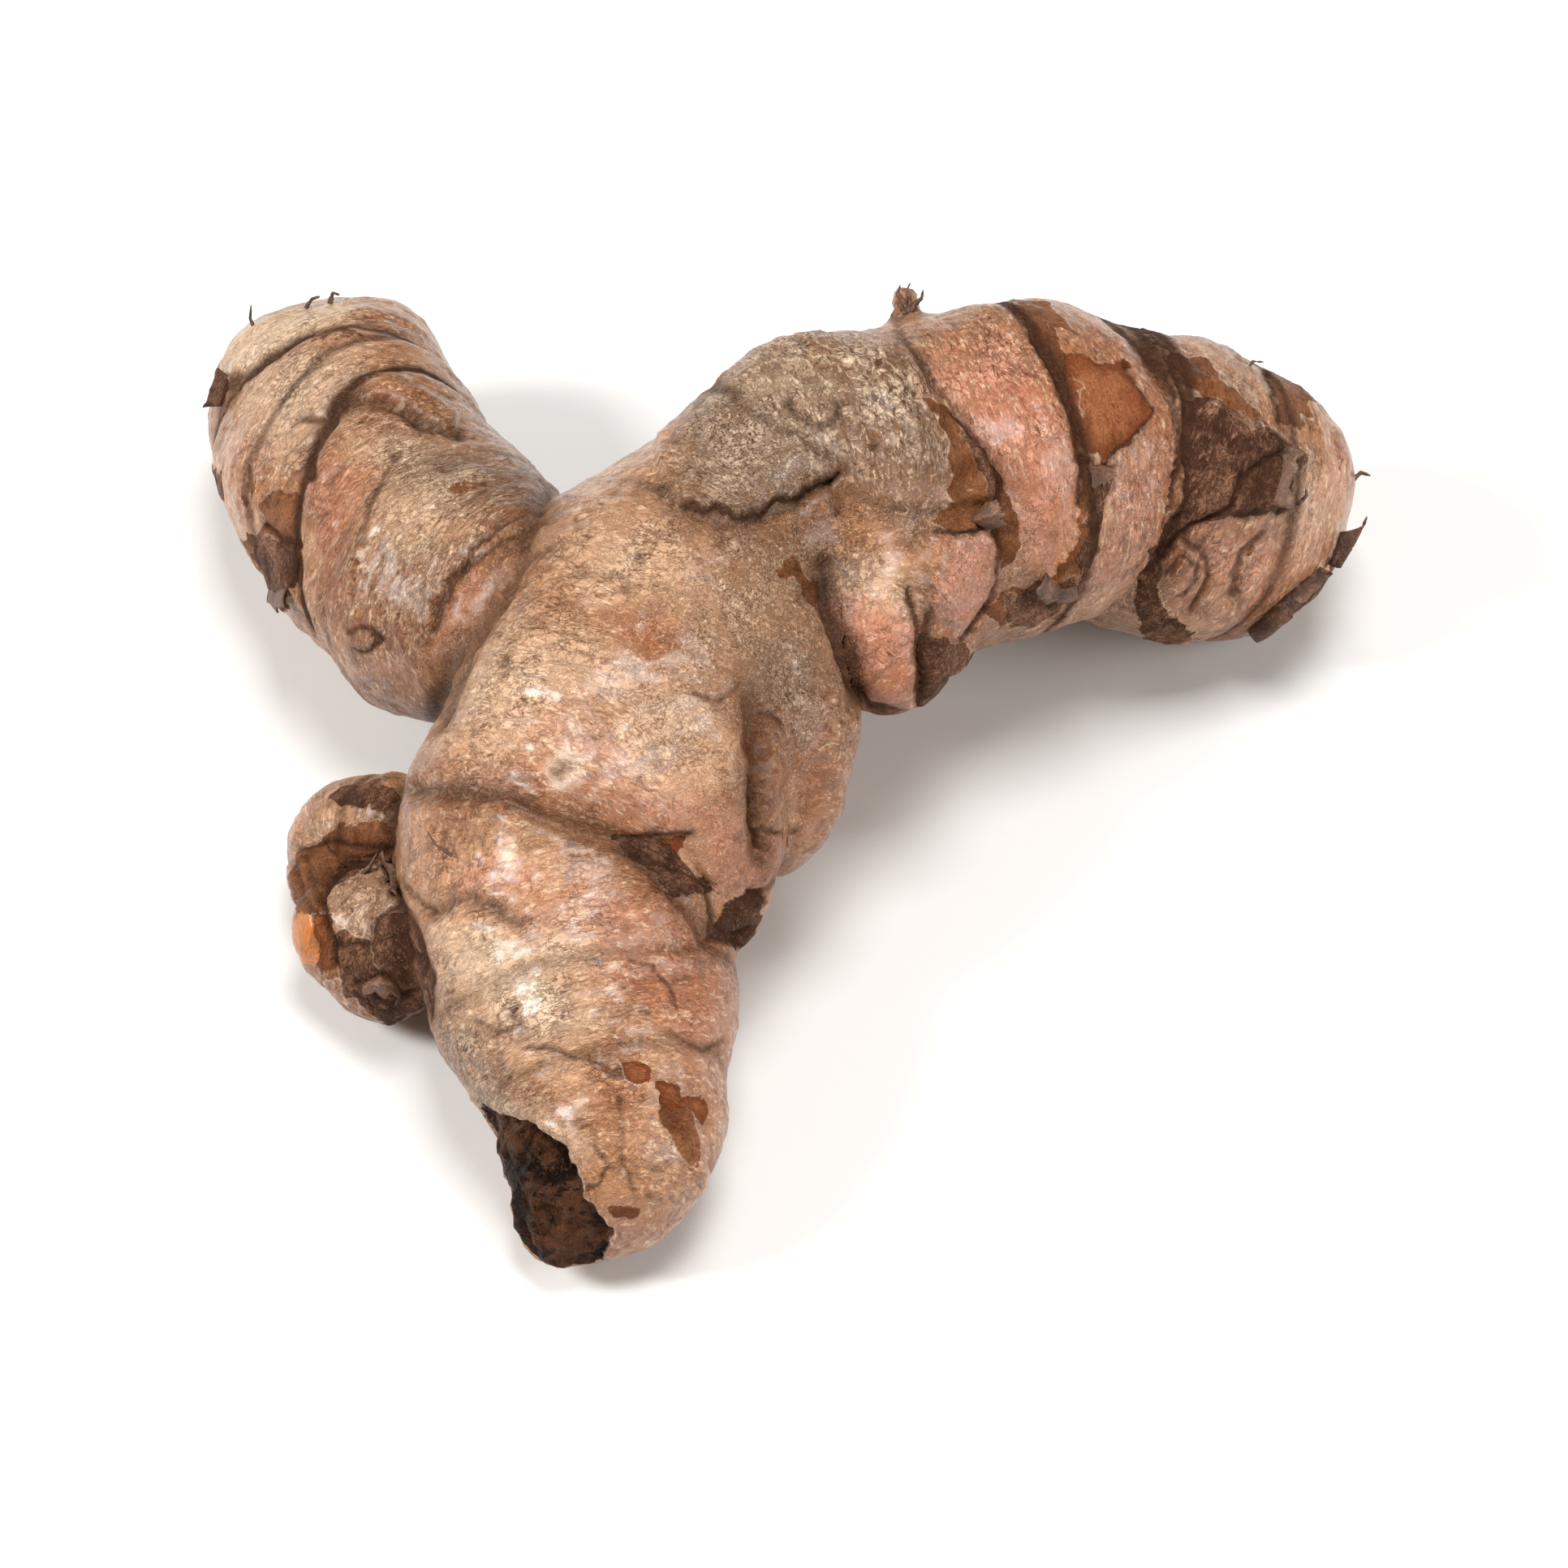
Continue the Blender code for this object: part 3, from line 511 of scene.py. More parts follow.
SCALE_AREAS = (
    (1.0, 1.1, -65, -109, -53, -107, -41, -106, -30, -112, -18, -127, -7, -133, -8, -141, -18, -142, -30,
     -137, -41, -128, -53, -121),
    (1.0, 1.0, 0, -168, 9, -159, 19, -149, 25, -153, 23, -171, 13, -175, 3, -176),
    (1.0, 0.9, 139, 152, 153, 136, 162, 123, 168, 108, 165, 98, 158, 112, 150, 127, 143, 139),
    (1.0, 0.9, 121, 20, 139, 15, 152, 10, 150, -14, 139, -30, 121, -24, 125, 1),
    (1.0, 1.0, 226, 117, 235, 115, 231, 93, 225, 70, 217, 58, 214, 72, 221, 93),
    (0.9, 1.0, 172, 40, 192, 46, 213, 58, 223, 58, 213, 37, 198, 27, 175, 22),
    (1.0, 1.2, 279, 161, 298, 158, 319, 146, 336, 140, 357, 129, 350, 117, 348, 95, 330, 95, 313, 93, 295, 90,
     280, 81, 267, 65, 261, 58, 257, 70, 275, 90, 282, 108, 279, 134),
    (1.0, 1.0, 255, 64, 267, 70, 264, 52, 270, 34, 286, 24, 283, 17, 258, 17, 253, 40),
    (1.0, 0.9, 375, 72, 382, 70, 375, 52, 360, 36, 342, 18, 330, 21, 342, 36, 357, 46, 369, 58),
    (1.0, 0.8, -314, 123, -307, 122, -302, 105, -307, 102, -312, 110),
    (1.0, 0.9, -280, 77, -264, 74, -264, 47, -268, 33, -277, 34, -279, 52, -291, 67),
    (0.85, 1.0, -249, -82, -232, -74, -199, -77, -199, -84, -204, -96, -216, -91, -230, -92, -238, -87),
    (0.9, 0.9, -240, -132, -236, -122, -216, -120, -210, -124, -224, -130, -234, -134, -243, -144),
    (1.0, 0.9, -237, -166, -228, -164, -216, -169, -210, -158, -198, -152, -190, -168, -182, -188, -182, -210,
     -194, -214, -206, -220, -220, -210, -234, -200, -238, -184),
    (1.0, 1.0, 0, -150, 14, -141, 27, -138, 25, -154, 16, -165, 7, -171, -2, -167),
)

FLESH_AREAS = (
    (1.0, 0.9, -263, -162, -256, -155, -250, -157, -252, -169, -250, -183, -256, -187, -262, -178),
)

STUB_AREAS = (
    (1.0, 1.1, -152, -275, -123, -284, -108, -290, -97, -299, -89, -312, -84, -328, -73, -341, -67, -353, -73,
     -368, -80, -394, -128, -394, -152, -365, -158, -334, -158, -299),
)

PATCH_ROWS = {
    Tint.PINK: PINK_AREAS, Tint.WARM_AND_SHADE: WARM_AND_SHADE_AREAS, Tint.GREY: GREY_AREAS, Tint.PALE_AND_HIGHLIGHT: PALE_AND_HIGHLIGHT_AREAS,
    Tint.DIRT_AND_SHADE: DIRT_AND_SHADE_AREAS, Tint.BROWN: BROWN_AREAS, Tint.RUST: RUST_AREAS, Tint.SCALE: SCALE_AREAS,
    Tint.FLESH: FLESH_AREAS, Tint.STUB: STUB_AREAS}

BUDS = (Bud(28.0, 5.8, 1.8, 0.6), Bud(5.3, 15.1, 1.8, 0.45), Bud(0.9, -15.4, 1.2, 0.3))
DIMPLES = (Bud(-4.4, 1.9, 1.7, -0.35), Bud(-7.6, 3.3, 1.4, -0.3), Bud(5.2, 15.2, 0.8, 0.75),
           Bud(-10.0, -15.4, 0.35, 0.2), Bud(-8.2, -16.1, 0.4, 0.25), Bud(-9.1, -15.8, 0.3, 0.15),
           Bud(-7.0, -18.6, 0.8, -0.2), Bud(2.2, -4.9, 1.3, -0.3))
PITS = (Bud(-9.8, -6.7, 0.45, -0.35), Bud(-13.2, -0.3, 0.5, -0.25), Bud(7.0, 9.3, 0.4, -0.3),
        Bud(-5.2, 6.6, 0.35, -0.2), Bud(9.3, 13.0, 0.35, -0.2), Bud(-12.6, -21.4, 0.35, -0.2))


def paired(tenths: list[int]) -> tuple[Corner, ...]:
    """Pair up tenths of a millimetre into corners, across and up."""
    return tuple((across / 10, up / 10) for across, up in zip(tenths[::2], tenths[1::2]))


CREASES, FOLDS = (tuple(Crease(paired(line), depth, half_width, stain_and_shade)
                        for depth, half_width, stain_and_shade, *line in crease_rows)
                  for crease_rows in (CREASE_ROWS, FOLD_ROWS))
SCALES = tuple(Scale(paired(outline), height) for height, *outline in SCALE_ROWS)
FLAPS = tuple(Flap(paired(lines[:len(lines) // 2]), paired(lines[len(lines) // 2:]), lift, curl)
              for lift, curl, *lines in FLAP_ROWS)
STRANDS = tuple(Strand(paired(path), radius, lift) for radius, lift, *path in STRAND_ROWS)
PATCHES = tuple(Patch(tint, strength, softness, paired(outline))
                for tint, patch_rows in PATCH_ROWS.items()
                for strength, softness, *outline in patch_rows)


def unit(vectors: np.ndarray) -> np.ndarray:
    """Scale each row to length one."""
    return vectors / np.maximum(np.linalg.norm(vectors, axis=-1, keepdims=True), 1e-9)


def bell(gap: np.ndarray, width: float) -> np.ndarray:
    """Give 1 at no gap and fall off as a bell, e to minus the square of the gap over the width."""
    return np.exp(-(gap / width) ** 2)


def ramp(depth: np.ndarray, width: float) -> np.ndarray:
    """Rise in a straight line from 0 to 1 over a width, with a half at no depth."""
    return np.clip(0.5 + depth / width, 0.0, 1.0)


def bud_gap(seen: np.ndarray, bud: Bud) -> np.ndarray:
    """Give how far each picture point lies from a bud's middle."""
    return np.hypot(seen[:, 0] - bud.across, seen[:, 1] - bud.up)


def raise_tint(tints: dict[Tint, np.ndarray], tint: Tint, amount: np.ndarray) -> None:
    """Raise a tint to an amount wherever it is below it."""
    tints[tint] = np.maximum(tints[tint], amount)


@dataclass(frozen=True)
class Layout:
    """Where the picture's millimetres lie in space.

    Args:
        look_down: the viewer's angle above the surface, in radians.
        distance: the viewer's distance.
        shift: what the CAD part takes off to stand centred on z = 0.
    """

    look_down: float = math.radians(50.0)
    distance: float = 600.0
    shift: tuple[float, float, float] = (3.4054, -4.9147, -10.7705)

    @property
    def toward_viewer(self) -> np.ndarray:
        """The direction from the rhizome to the viewer."""
        return np.array([0.0, -math.cos(self.look_down), math.sin(self.look_down)])

    def to_space(self, rows: np.ndarray) -> np.ndarray:
        """Turn picture places into space: spread with the distance, then tipped by the viewer's angle.

        Args:
            rows: rows of across, up and away.

        Returns:
            Places in layout millimetres.
        """
        rows = np.asarray(rows, dtype=float)
        spread = (self.distance + rows[:, 2]) / self.distance
        up = rows[:, 1] * spread
        sine, cosine = math.sin(self.look_down), math.cos(self.look_down)
        return np.stack([rows[:, 0] * spread, up * sine + rows[:, 2] * cosine,
                         up * cosine - rows[:, 2] * sine], axis=1)

    def to_picture(self, points: np.ndarray) -> np.ndarray:
        """Turn places in space back into picture places.

        Args:
            points: places in layout millimetres.

        Returns:
            Rows of across and up.
        """
        sine, cosine = math.sin(self.look_down), math.cos(self.look_down)
        spread = self.distance / (self.distance + points[:, 1] * cosine - points[:, 2] * sine)
        up = points[:, 1] * sine + points[:, 2] * cosine
        return np.stack([points[:, 0] * spread, up * spread], axis=1)

    def metres(self, points: np.ndarray) -> np.ndarray:
        """Turn layout millimetres into the row frame's metres."""
        return (points - np.array(self.shift)) / 1000.0


class Noise:
    """Smooth lattice noise between -1 and 1, from a seeded table."""

    FINER = 2.03
    FAINTER = 0.55
    OFFSET = 7.1

    def __init__(self, seed: int, side: int = 32) -> None:
        """Fill the table at random."""
        self.side = side
        self.table = np.random.default_rng(seed).uniform(-1.0, 1.0, (side, side, side))

    def at(self, points: np.ndarray) -> np.ndarray:
        """Read the noise, blending the eight lattice corners round each place by a smooth step.

        Args:
            points: rows of x, y and z, one lattice step to the unit.

        Returns:
            One value for each row.
        """
        base = np.floor(points).astype(int)
        part = points - base
        part = part * part * (3.0 - 2.0 * part)
        value = np.zeros(len(points))
        for corner in np.ndindex(2, 2, 2):
            step = np.array(corner)
            weight = np.prod(np.where(step == 1, part, 1.0 - part), axis=1)
            x, y, z = ((base + step) % self.side).T
            value += weight * self.table[x, y, z]
        return value

    def layered(self, points: np.ndarray, layers: int = 3) -> np.ndarray:
        """Add ever finer and fainter layers of the noise.

        Args:
            points: rows of x, y and z.
            layers: how many layers there are.

        Returns:
            One value for each row.
        """
        value = np.zeros(len(points))
        for layer in range(layers):
            value += self.at(points * self.FINER ** layer + self.OFFSET * layer) * self.FAINTER ** layer
        return value


@dataclass
class Limb:
    """One limb, swept along a smooth line through its control rows."""

    layout: Layout
    controls: tuple[Row, ...]
    rings: tuple[Ring, ...] = ()
    centres: np.ndarray = field(init=False)
    radii: np.ndarray = field(init=False)
    directions: np.ndarray = field(init=False)
    distances: np.ndarray = field(init=False)

    def __post_init__(self) -> None:
        """Work out the centre line."""
        rows = self.smooth_rows()
        self.centres = self.layout.to_space(rows[:, :3])
        self.radii = rows[:, 3] * (self.layout.distance + rows[:, 2]) / self.layout.distance
        self.directions = unit(np.gradient(self.centres, axis=0))
        steps = np.linalg.norm(np.diff(self.centres, axis=0), axis=1)
        self.distances = np.concatenate([[0.0], np.cumsum(steps)])

    def smooth_rows(self, steps: int = 14) -> np.ndarray:
        """Pass a smooth curve through the control rows: a cubic through each two of them.

        Args:
            steps: how many stations lie between two control rows.

        Returns:
            One row for each station.
        """
        rows = np.asarray(self.controls, dtype=float)
        rows = np.vstack([2.0 * rows[0] - rows[1], rows, 2.0 * rows[-1] - rows[-2]])
        t = np.linspace(0.0, 1.0, steps, endpoint=False)[:, None]
        pieces = []
        for i in range(1, len(rows) - 2):
            a, b, c, d = rows[i - 1:i + 3]
            pieces.append(0.5 * (2.0 * b + (c - a) * t + (2.0 * a - 5.0 * b + 4.0 * c - d) * t ** 2
                                 + (3.0 * b - a - 3.0 * c + d) * t ** 3))
        pieces.append(rows[-2:-1])
        return np.vstack(pieces)

    def tube(self, sides: int = 32, cap_rings: int = 6) -> Grid:
        """Sweep a circle along the line, round at both ends.

        The stations that close each end follow a quarter circle in place and radius.

        Args:
            sides: how many corners go once round.
            cap_rings: how many stations close each end.

        Returns:
            The corners, and the quads as rows of four indices.
        """
        angles = 0.5 * math.pi * np.arange(cap_rings) / cap_rings
        head = self.centres[0] - np.outer(np.cos(angles) * self.radii[0], self.directions[0])
        tail = self.centres[-1] + np.outer(np.cos(angles[::-1]) * self.radii[-1], self.directions[-1])
        radii = np.concatenate([np.sin(angles) * self.radii[0], self.radii,
                                np.sin(angles[::-1]) * self.radii[-1]])
        directions = np.vstack([np.tile(self.directions[0], (cap_rings, 1)), self.directions,
                                np.tile(self.directions[-1], (cap_rings, 1))])
        return swept(np.vstack([head, self.centres, tail]), radii, directions,
                     self.layout.toward_viewer, sides)


def grid_quads(rows: int, columns: int, closed: bool = False) -> np.ndarray:
    """Give the quads of a grid of corners.

    Args:
        rows: how many rows of corners there are.
        columns: how many corners a row has.
        closed: whether the last column is joined to the first.

    Returns:
        Rows of four indices.
    """
    index = np.arange(rows * columns).reshape(rows, columns)
    following = np.roll(index, -1, axis=1)
    if not closed:
        index, following = index[:, :-1], following[:, :-1]
    return np.stack([index[:-1], following[:-1], following[1:], index[1:]], axis=-1).reshape(-1, 4)


def swept(centres: np.ndarray, radii: np.ndarray, directions: np.ndarray,
          toward_viewer: np.ndarray, sides: int) -> Grid:
    """Sweep a circle along a line, on a grid of stations by turns.

    Each corner is its station's centre plus the radius times a direction that turns once round
    the line, starting square to the line and to the viewer.

    Args:
        centres: the stations' places.
        radii: the stations' radii.
        directions: the line's direction at each station.
        toward_viewer: the direction to the viewer.
        sides: how many corners go once round.

    Returns:
        The corners, and the quads as rows of four indices.
    """
    side = unit(np.cross(directions, toward_viewer + np.array(OFF_AXIS)))
    other = np.cross(directions, side)
    turns = np.linspace(0.0, 2.0 * math.pi, sides, endpoint=False)[None, :, None]
    corners = centres[:, None, :] + radii[:, None, None] * (
        np.cos(turns) * side[:, None, :] + np.sin(turns) * other[:, None, :])
    return corners.reshape(-1, 3), grid_quads(len(centres), sides, closed=True)


def joined(grids: list[Grid]) -> Grid:
    """Put several grids into one set of corners and quads."""
    starts = np.cumsum([0] + [len(corners) for corners, _ in grids[:-1]])
    return (np.vstack([corners for corners, _ in grids]),
            np.vstack([quads + start for (_, quads), start in zip(grids, starts)]))


def in_scene(name: str, data: bpy.types.ID) -> bpy.types.Object:
    """Make an object of a mesh, camera or lamp, and put it in the scene."""
    created = bpy.data.objects.new(name, data)
    bpy.context.collection.objects.link(created)
    return created


def grid_object(name: str, grid: Grid) -> bpy.types.Object:
    """Make a smooth-shaded mesh object.

    Args:
        name: the object's and the mesh's name.
        grid: its corners in metres, and its quads.

    Returns:
        The object.
    """
    corners, quads = grid
    mesh = bpy.data.meshes.new(name)
    mesh.vertices.add(len(corners))
    mesh.vertices.foreach_set("co", corners.ravel())
    mesh.loops.add(quads.size)
    mesh.loops.foreach_set("vertex_index", quads.ravel())
    mesh.polygons.add(len(quads))
    mesh.polygons.foreach_set("loop_start", np.arange(0, quads.size, 4))
    mesh.update(calc_edges=True)
    mesh.polygons.foreach_set("use_smooth", np.ones(len(quads), dtype=bool))
    return in_scene(name, mesh)


def corner_vectors(mesh: bpy.types.Mesh, name: str) -> np.ndarray:
    """Read a vector of every corner of a mesh, as rows of x, y and z."""
    values = np.empty(len(mesh.vertices) * 3)
    mesh.vertices.foreach_get(name, values)
    return values.reshape(-1, 3)


def modified_mesh(thing: bpy.types.Object) -> bpy.types.Mesh:
    """Give a new mesh of an object as its modifiers leave it."""
    return bpy.data.meshes.new_from_object(thing.evaluated_get(bpy.context.evaluated_depsgraph_get()))


def line_distance(points: np.ndarray, line: tuple[Corner, ...]) -> np.ndarray:
    """Measure each point's distance in the picture from a line of joined corners.

    Args:
        points: rows of across and up.
        line: the corners, in order.

    Returns:
        One distance for each point.
    """
    corners = np.asarray(line, dtype=float)
    starts = corners[:-1]
    spans = corners[1:] - starts
    offsets = points[:, None, :] - starts[None, :, :]
    share = np.sum(offsets * spans, axis=2) / np.sum(spans * spans, axis=1)
    gaps = offsets - np.clip(share, 0.0, 1.0)[:, :, None] * spans
    return np.linalg.norm(gaps, axis=2).min(axis=1)


def signed_depth(points: np.ndarray, outline: tuple[Corner, ...]) -> np.ndarray:
    """Measure how far inside a closed outline each point lies.

    A point is inside where a line drawn across from it crosses the outline an odd number of times.

    Args:
        points: rows of across and up.
        outline: the corners, in order.

    Returns:
        One depth for each point, negative outside.
    """
    corners = np.asarray(outline, dtype=float)
    inside = np.zeros(len(points), dtype=bool)
    for (x0, y0), (x1, y1) in zip(corners, np.roll(corners, -1, axis=0)):
        crosses = (y0 > points[:, 1]) != (y1 > points[:, 1])
        rise = y1 - y0 if y1 != y0 else 1e-9
        inside ^= crosses & (points[:, 0] < x0 + (x1 - x0) * (points[:, 1] - y0) / rise)
    gap = line_distance(points, outline + outline[:1])
    return np.where(inside, gap, -gap)


@dataclass
class Survey:
    """What the smooth union says about a set of points.

    Args:
        points: places in layout millimetres.
        value: the distance from the union's surface, negative inside.
        slope: the direction in which it grows.
        shares: each limb's share in the union.
        along: the place along each limb.
        facing: how far round each limb toward the viewer, -1 to 1.
        siding: how far round each limb to its side, -1 to 1.
        grain: the chief limb's coordinates, which the skin's fibres follow.
        merge: how far limbs merge, 0 to 1.
    """

    points: np.ndarray
    value: np.ndarray
    slope: np.ndarray
    shares: np.ndarray
    along: np.ndarray
    facing: np.ndarray
    siding: np.ndarray
    grain: np.ndarray
    merge: np.ndarray

    @property
    def normals(self) -> np.ndarray:
        """The union's outward directions at the points."""
        return unit(self.slope)


class Rhizome:
    """The smooth union of all limbs.

    SOFTNESS is how far round a junction the limbs flow together, and GRAIN_APART sets one limb's
    pattern off from the next. Limbs merge where the chief one's share falls below MERGE_SHARE.
    A line of sight is followed in SIGHT_STEPS steps no longer than LONGEST_STEP.
    """

    SOFTNESS = 0.65
    CHUNK = 20000
    GRAIN_APART = 40.0
    MERGE_SHARE = 0.98
    MERGE_SPAN = 0.2
    LEAST_STEEP = 0.05
    SIGHT_START = 45.0
    SIGHT_STEPS = 60
    STEP_SHARE = 0.9
    LONGEST_STEP = 3.0

    def __init__(self, layout: Layout) -> None:
        """Lay out all limbs."""
        self.layout = layout
        self.limbs = {name: Limb(layout, rows, RINGS.get(name, ())) for name, rows in LIMB_ROWS.items()}

    def survey(self, points: np.ndarray) -> Survey:
        """Measure points against every limb.

        Args:
            points: places in layout millimetres.

        Returns:
            What the union says about them.
        """
        parts = [self.survey_chunk(points[start:start + self.CHUNK])
                 for start in range(0, len(points), self.CHUNK)]
        return Survey(points, *(np.concatenate(columns) for columns in zip(*parts)))

    def survey_chunk(self, points: np.ndarray) -> tuple[np.ndarray, ...]:
        """Measure one chunk of points against every limb.

        A limb's distance is the least of distance to centre less radius over its stations. The
        union's is the lowest of them less the softness times the log of the summed shares.

        Args:
            points: places in layout millimetres.

        Returns:
            The columns of a survey after its points, in its order.
        """
        rows = np.arange(len(points))
        distances, slopes, alongs, facings, sidings, grains = [], [], [], [], [], []
        for order, limb in enumerate(self.limbs.values()):
            offsets = points[:, None, :] - limb.centres[None, :, :]
            lengths = np.sqrt(np.einsum("nmd,nmd->nm", offsets, offsets))
            nearest = np.argmin(lengths - limb.radii[None, :], axis=1)
            offset = offsets[rows, nearest]
            length = np.maximum(lengths[rows, nearest], 1e-9)
            forward = limb.directions[nearest]
            step = np.sum(offset * forward, axis=1)
            radial = offset - step[:, None] * forward
            outward = unit(radial)
            toward = unit(self.layout.toward_viewer
                          - (forward @ self.layout.toward_viewer)[:, None] * forward)
            side = np.cross(toward, forward)
            along = limb.distances[nearest] + step
            distances.append(length - limb.radii[nearest])
            slopes.append(offset / length[:, None])
            alongs.append(along)
            facings.append(np.sum(outward * toward, axis=1))
            sidings.append(np.sum(outward * side, axis=1))
            grains.append(np.stack([along + self.GRAIN_APART * order, np.sum(radial * toward, axis=1),
                                    np.sum(radial * side, axis=1)], axis=1))
        distance = np.stack(distances, axis=1)
        lowest = distance.min(axis=1, keepdims=True)
        shares = np.exp(-(distance - lowest) / self.SOFTNESS)
        total = shares.sum(axis=1, keepdims=True)
        shares = shares / total
        value = lowest[:, 0] - self.SOFTNESS * np.log(total[:, 0])
        slope = np.einsum("nk,nkd->nd", shares, np.stack(slopes, axis=1))
        grain = np.stack(grains, axis=1)[rows, np.argmax(shares, axis=1)]
        merge = np.clip((self.MERGE_SHARE - shares.max(axis=1)) / self.MERGE_SPAN, 0.0, 1.0)
        return (value, slope, shares, np.stack(alongs, axis=1), np.stack(facings, axis=1),
                np.stack(sidings, axis=1), grain, merge)

    def settle(self, points: np.ndarray, rounds: int = 4) -> np.ndarray:
        """Move points onto the union's surface along its slope.

        Args:
            points: places in layout millimetres.
            rounds: how often they are moved.

        Returns:
            The moved points.
        """
        for _ in range(rounds):
            found = self.survey(points)
            steep = np.maximum(np.sum(found.slope ** 2, axis=1), self.LEAST_STEEP)
            points = points - (found.value / steep)[:, None] * found.slope
        return points

    def seen_at(self, picture: np.ndarray) -> tuple[np.ndarray, np.ndarray]:
        """Find the surface and its outward direction under points in the picture.

        Where a line of sight passes the surface by, the point it passes closest to is taken.

        Args:
            picture: rows of across and up.

        Returns:
            The surface points and unit normals, in layout millimetres.
        """
        picture = np.asarray(picture, dtype=float)
        eye = self.layout.toward_viewer * self.layout.distance
        plane = self.layout.to_space(np.column_stack([picture, np.zeros(len(picture))]))
        ray = unit(plane - eye)
        travelled = np.full(len(picture), self.layout.distance - self.SIGHT_START)
        nearest = travelled.copy()
        least = np.full(len(picture), np.inf)
        for _ in range(self.SIGHT_STEPS):
            value = self.survey(eye + travelled[:, None] * ray).value
            nearest = np.where(np.abs(value) < least, travelled, nearest)
            least = np.minimum(least, np.abs(value))
            travelled = travelled + np.clip(self.STEP_SHARE * value, -self.LONGEST_STEP, self.LONGEST_STEP)
        points = self.settle(eye + nearest[:, None] * ray)
        return points, self.survey(points).normals


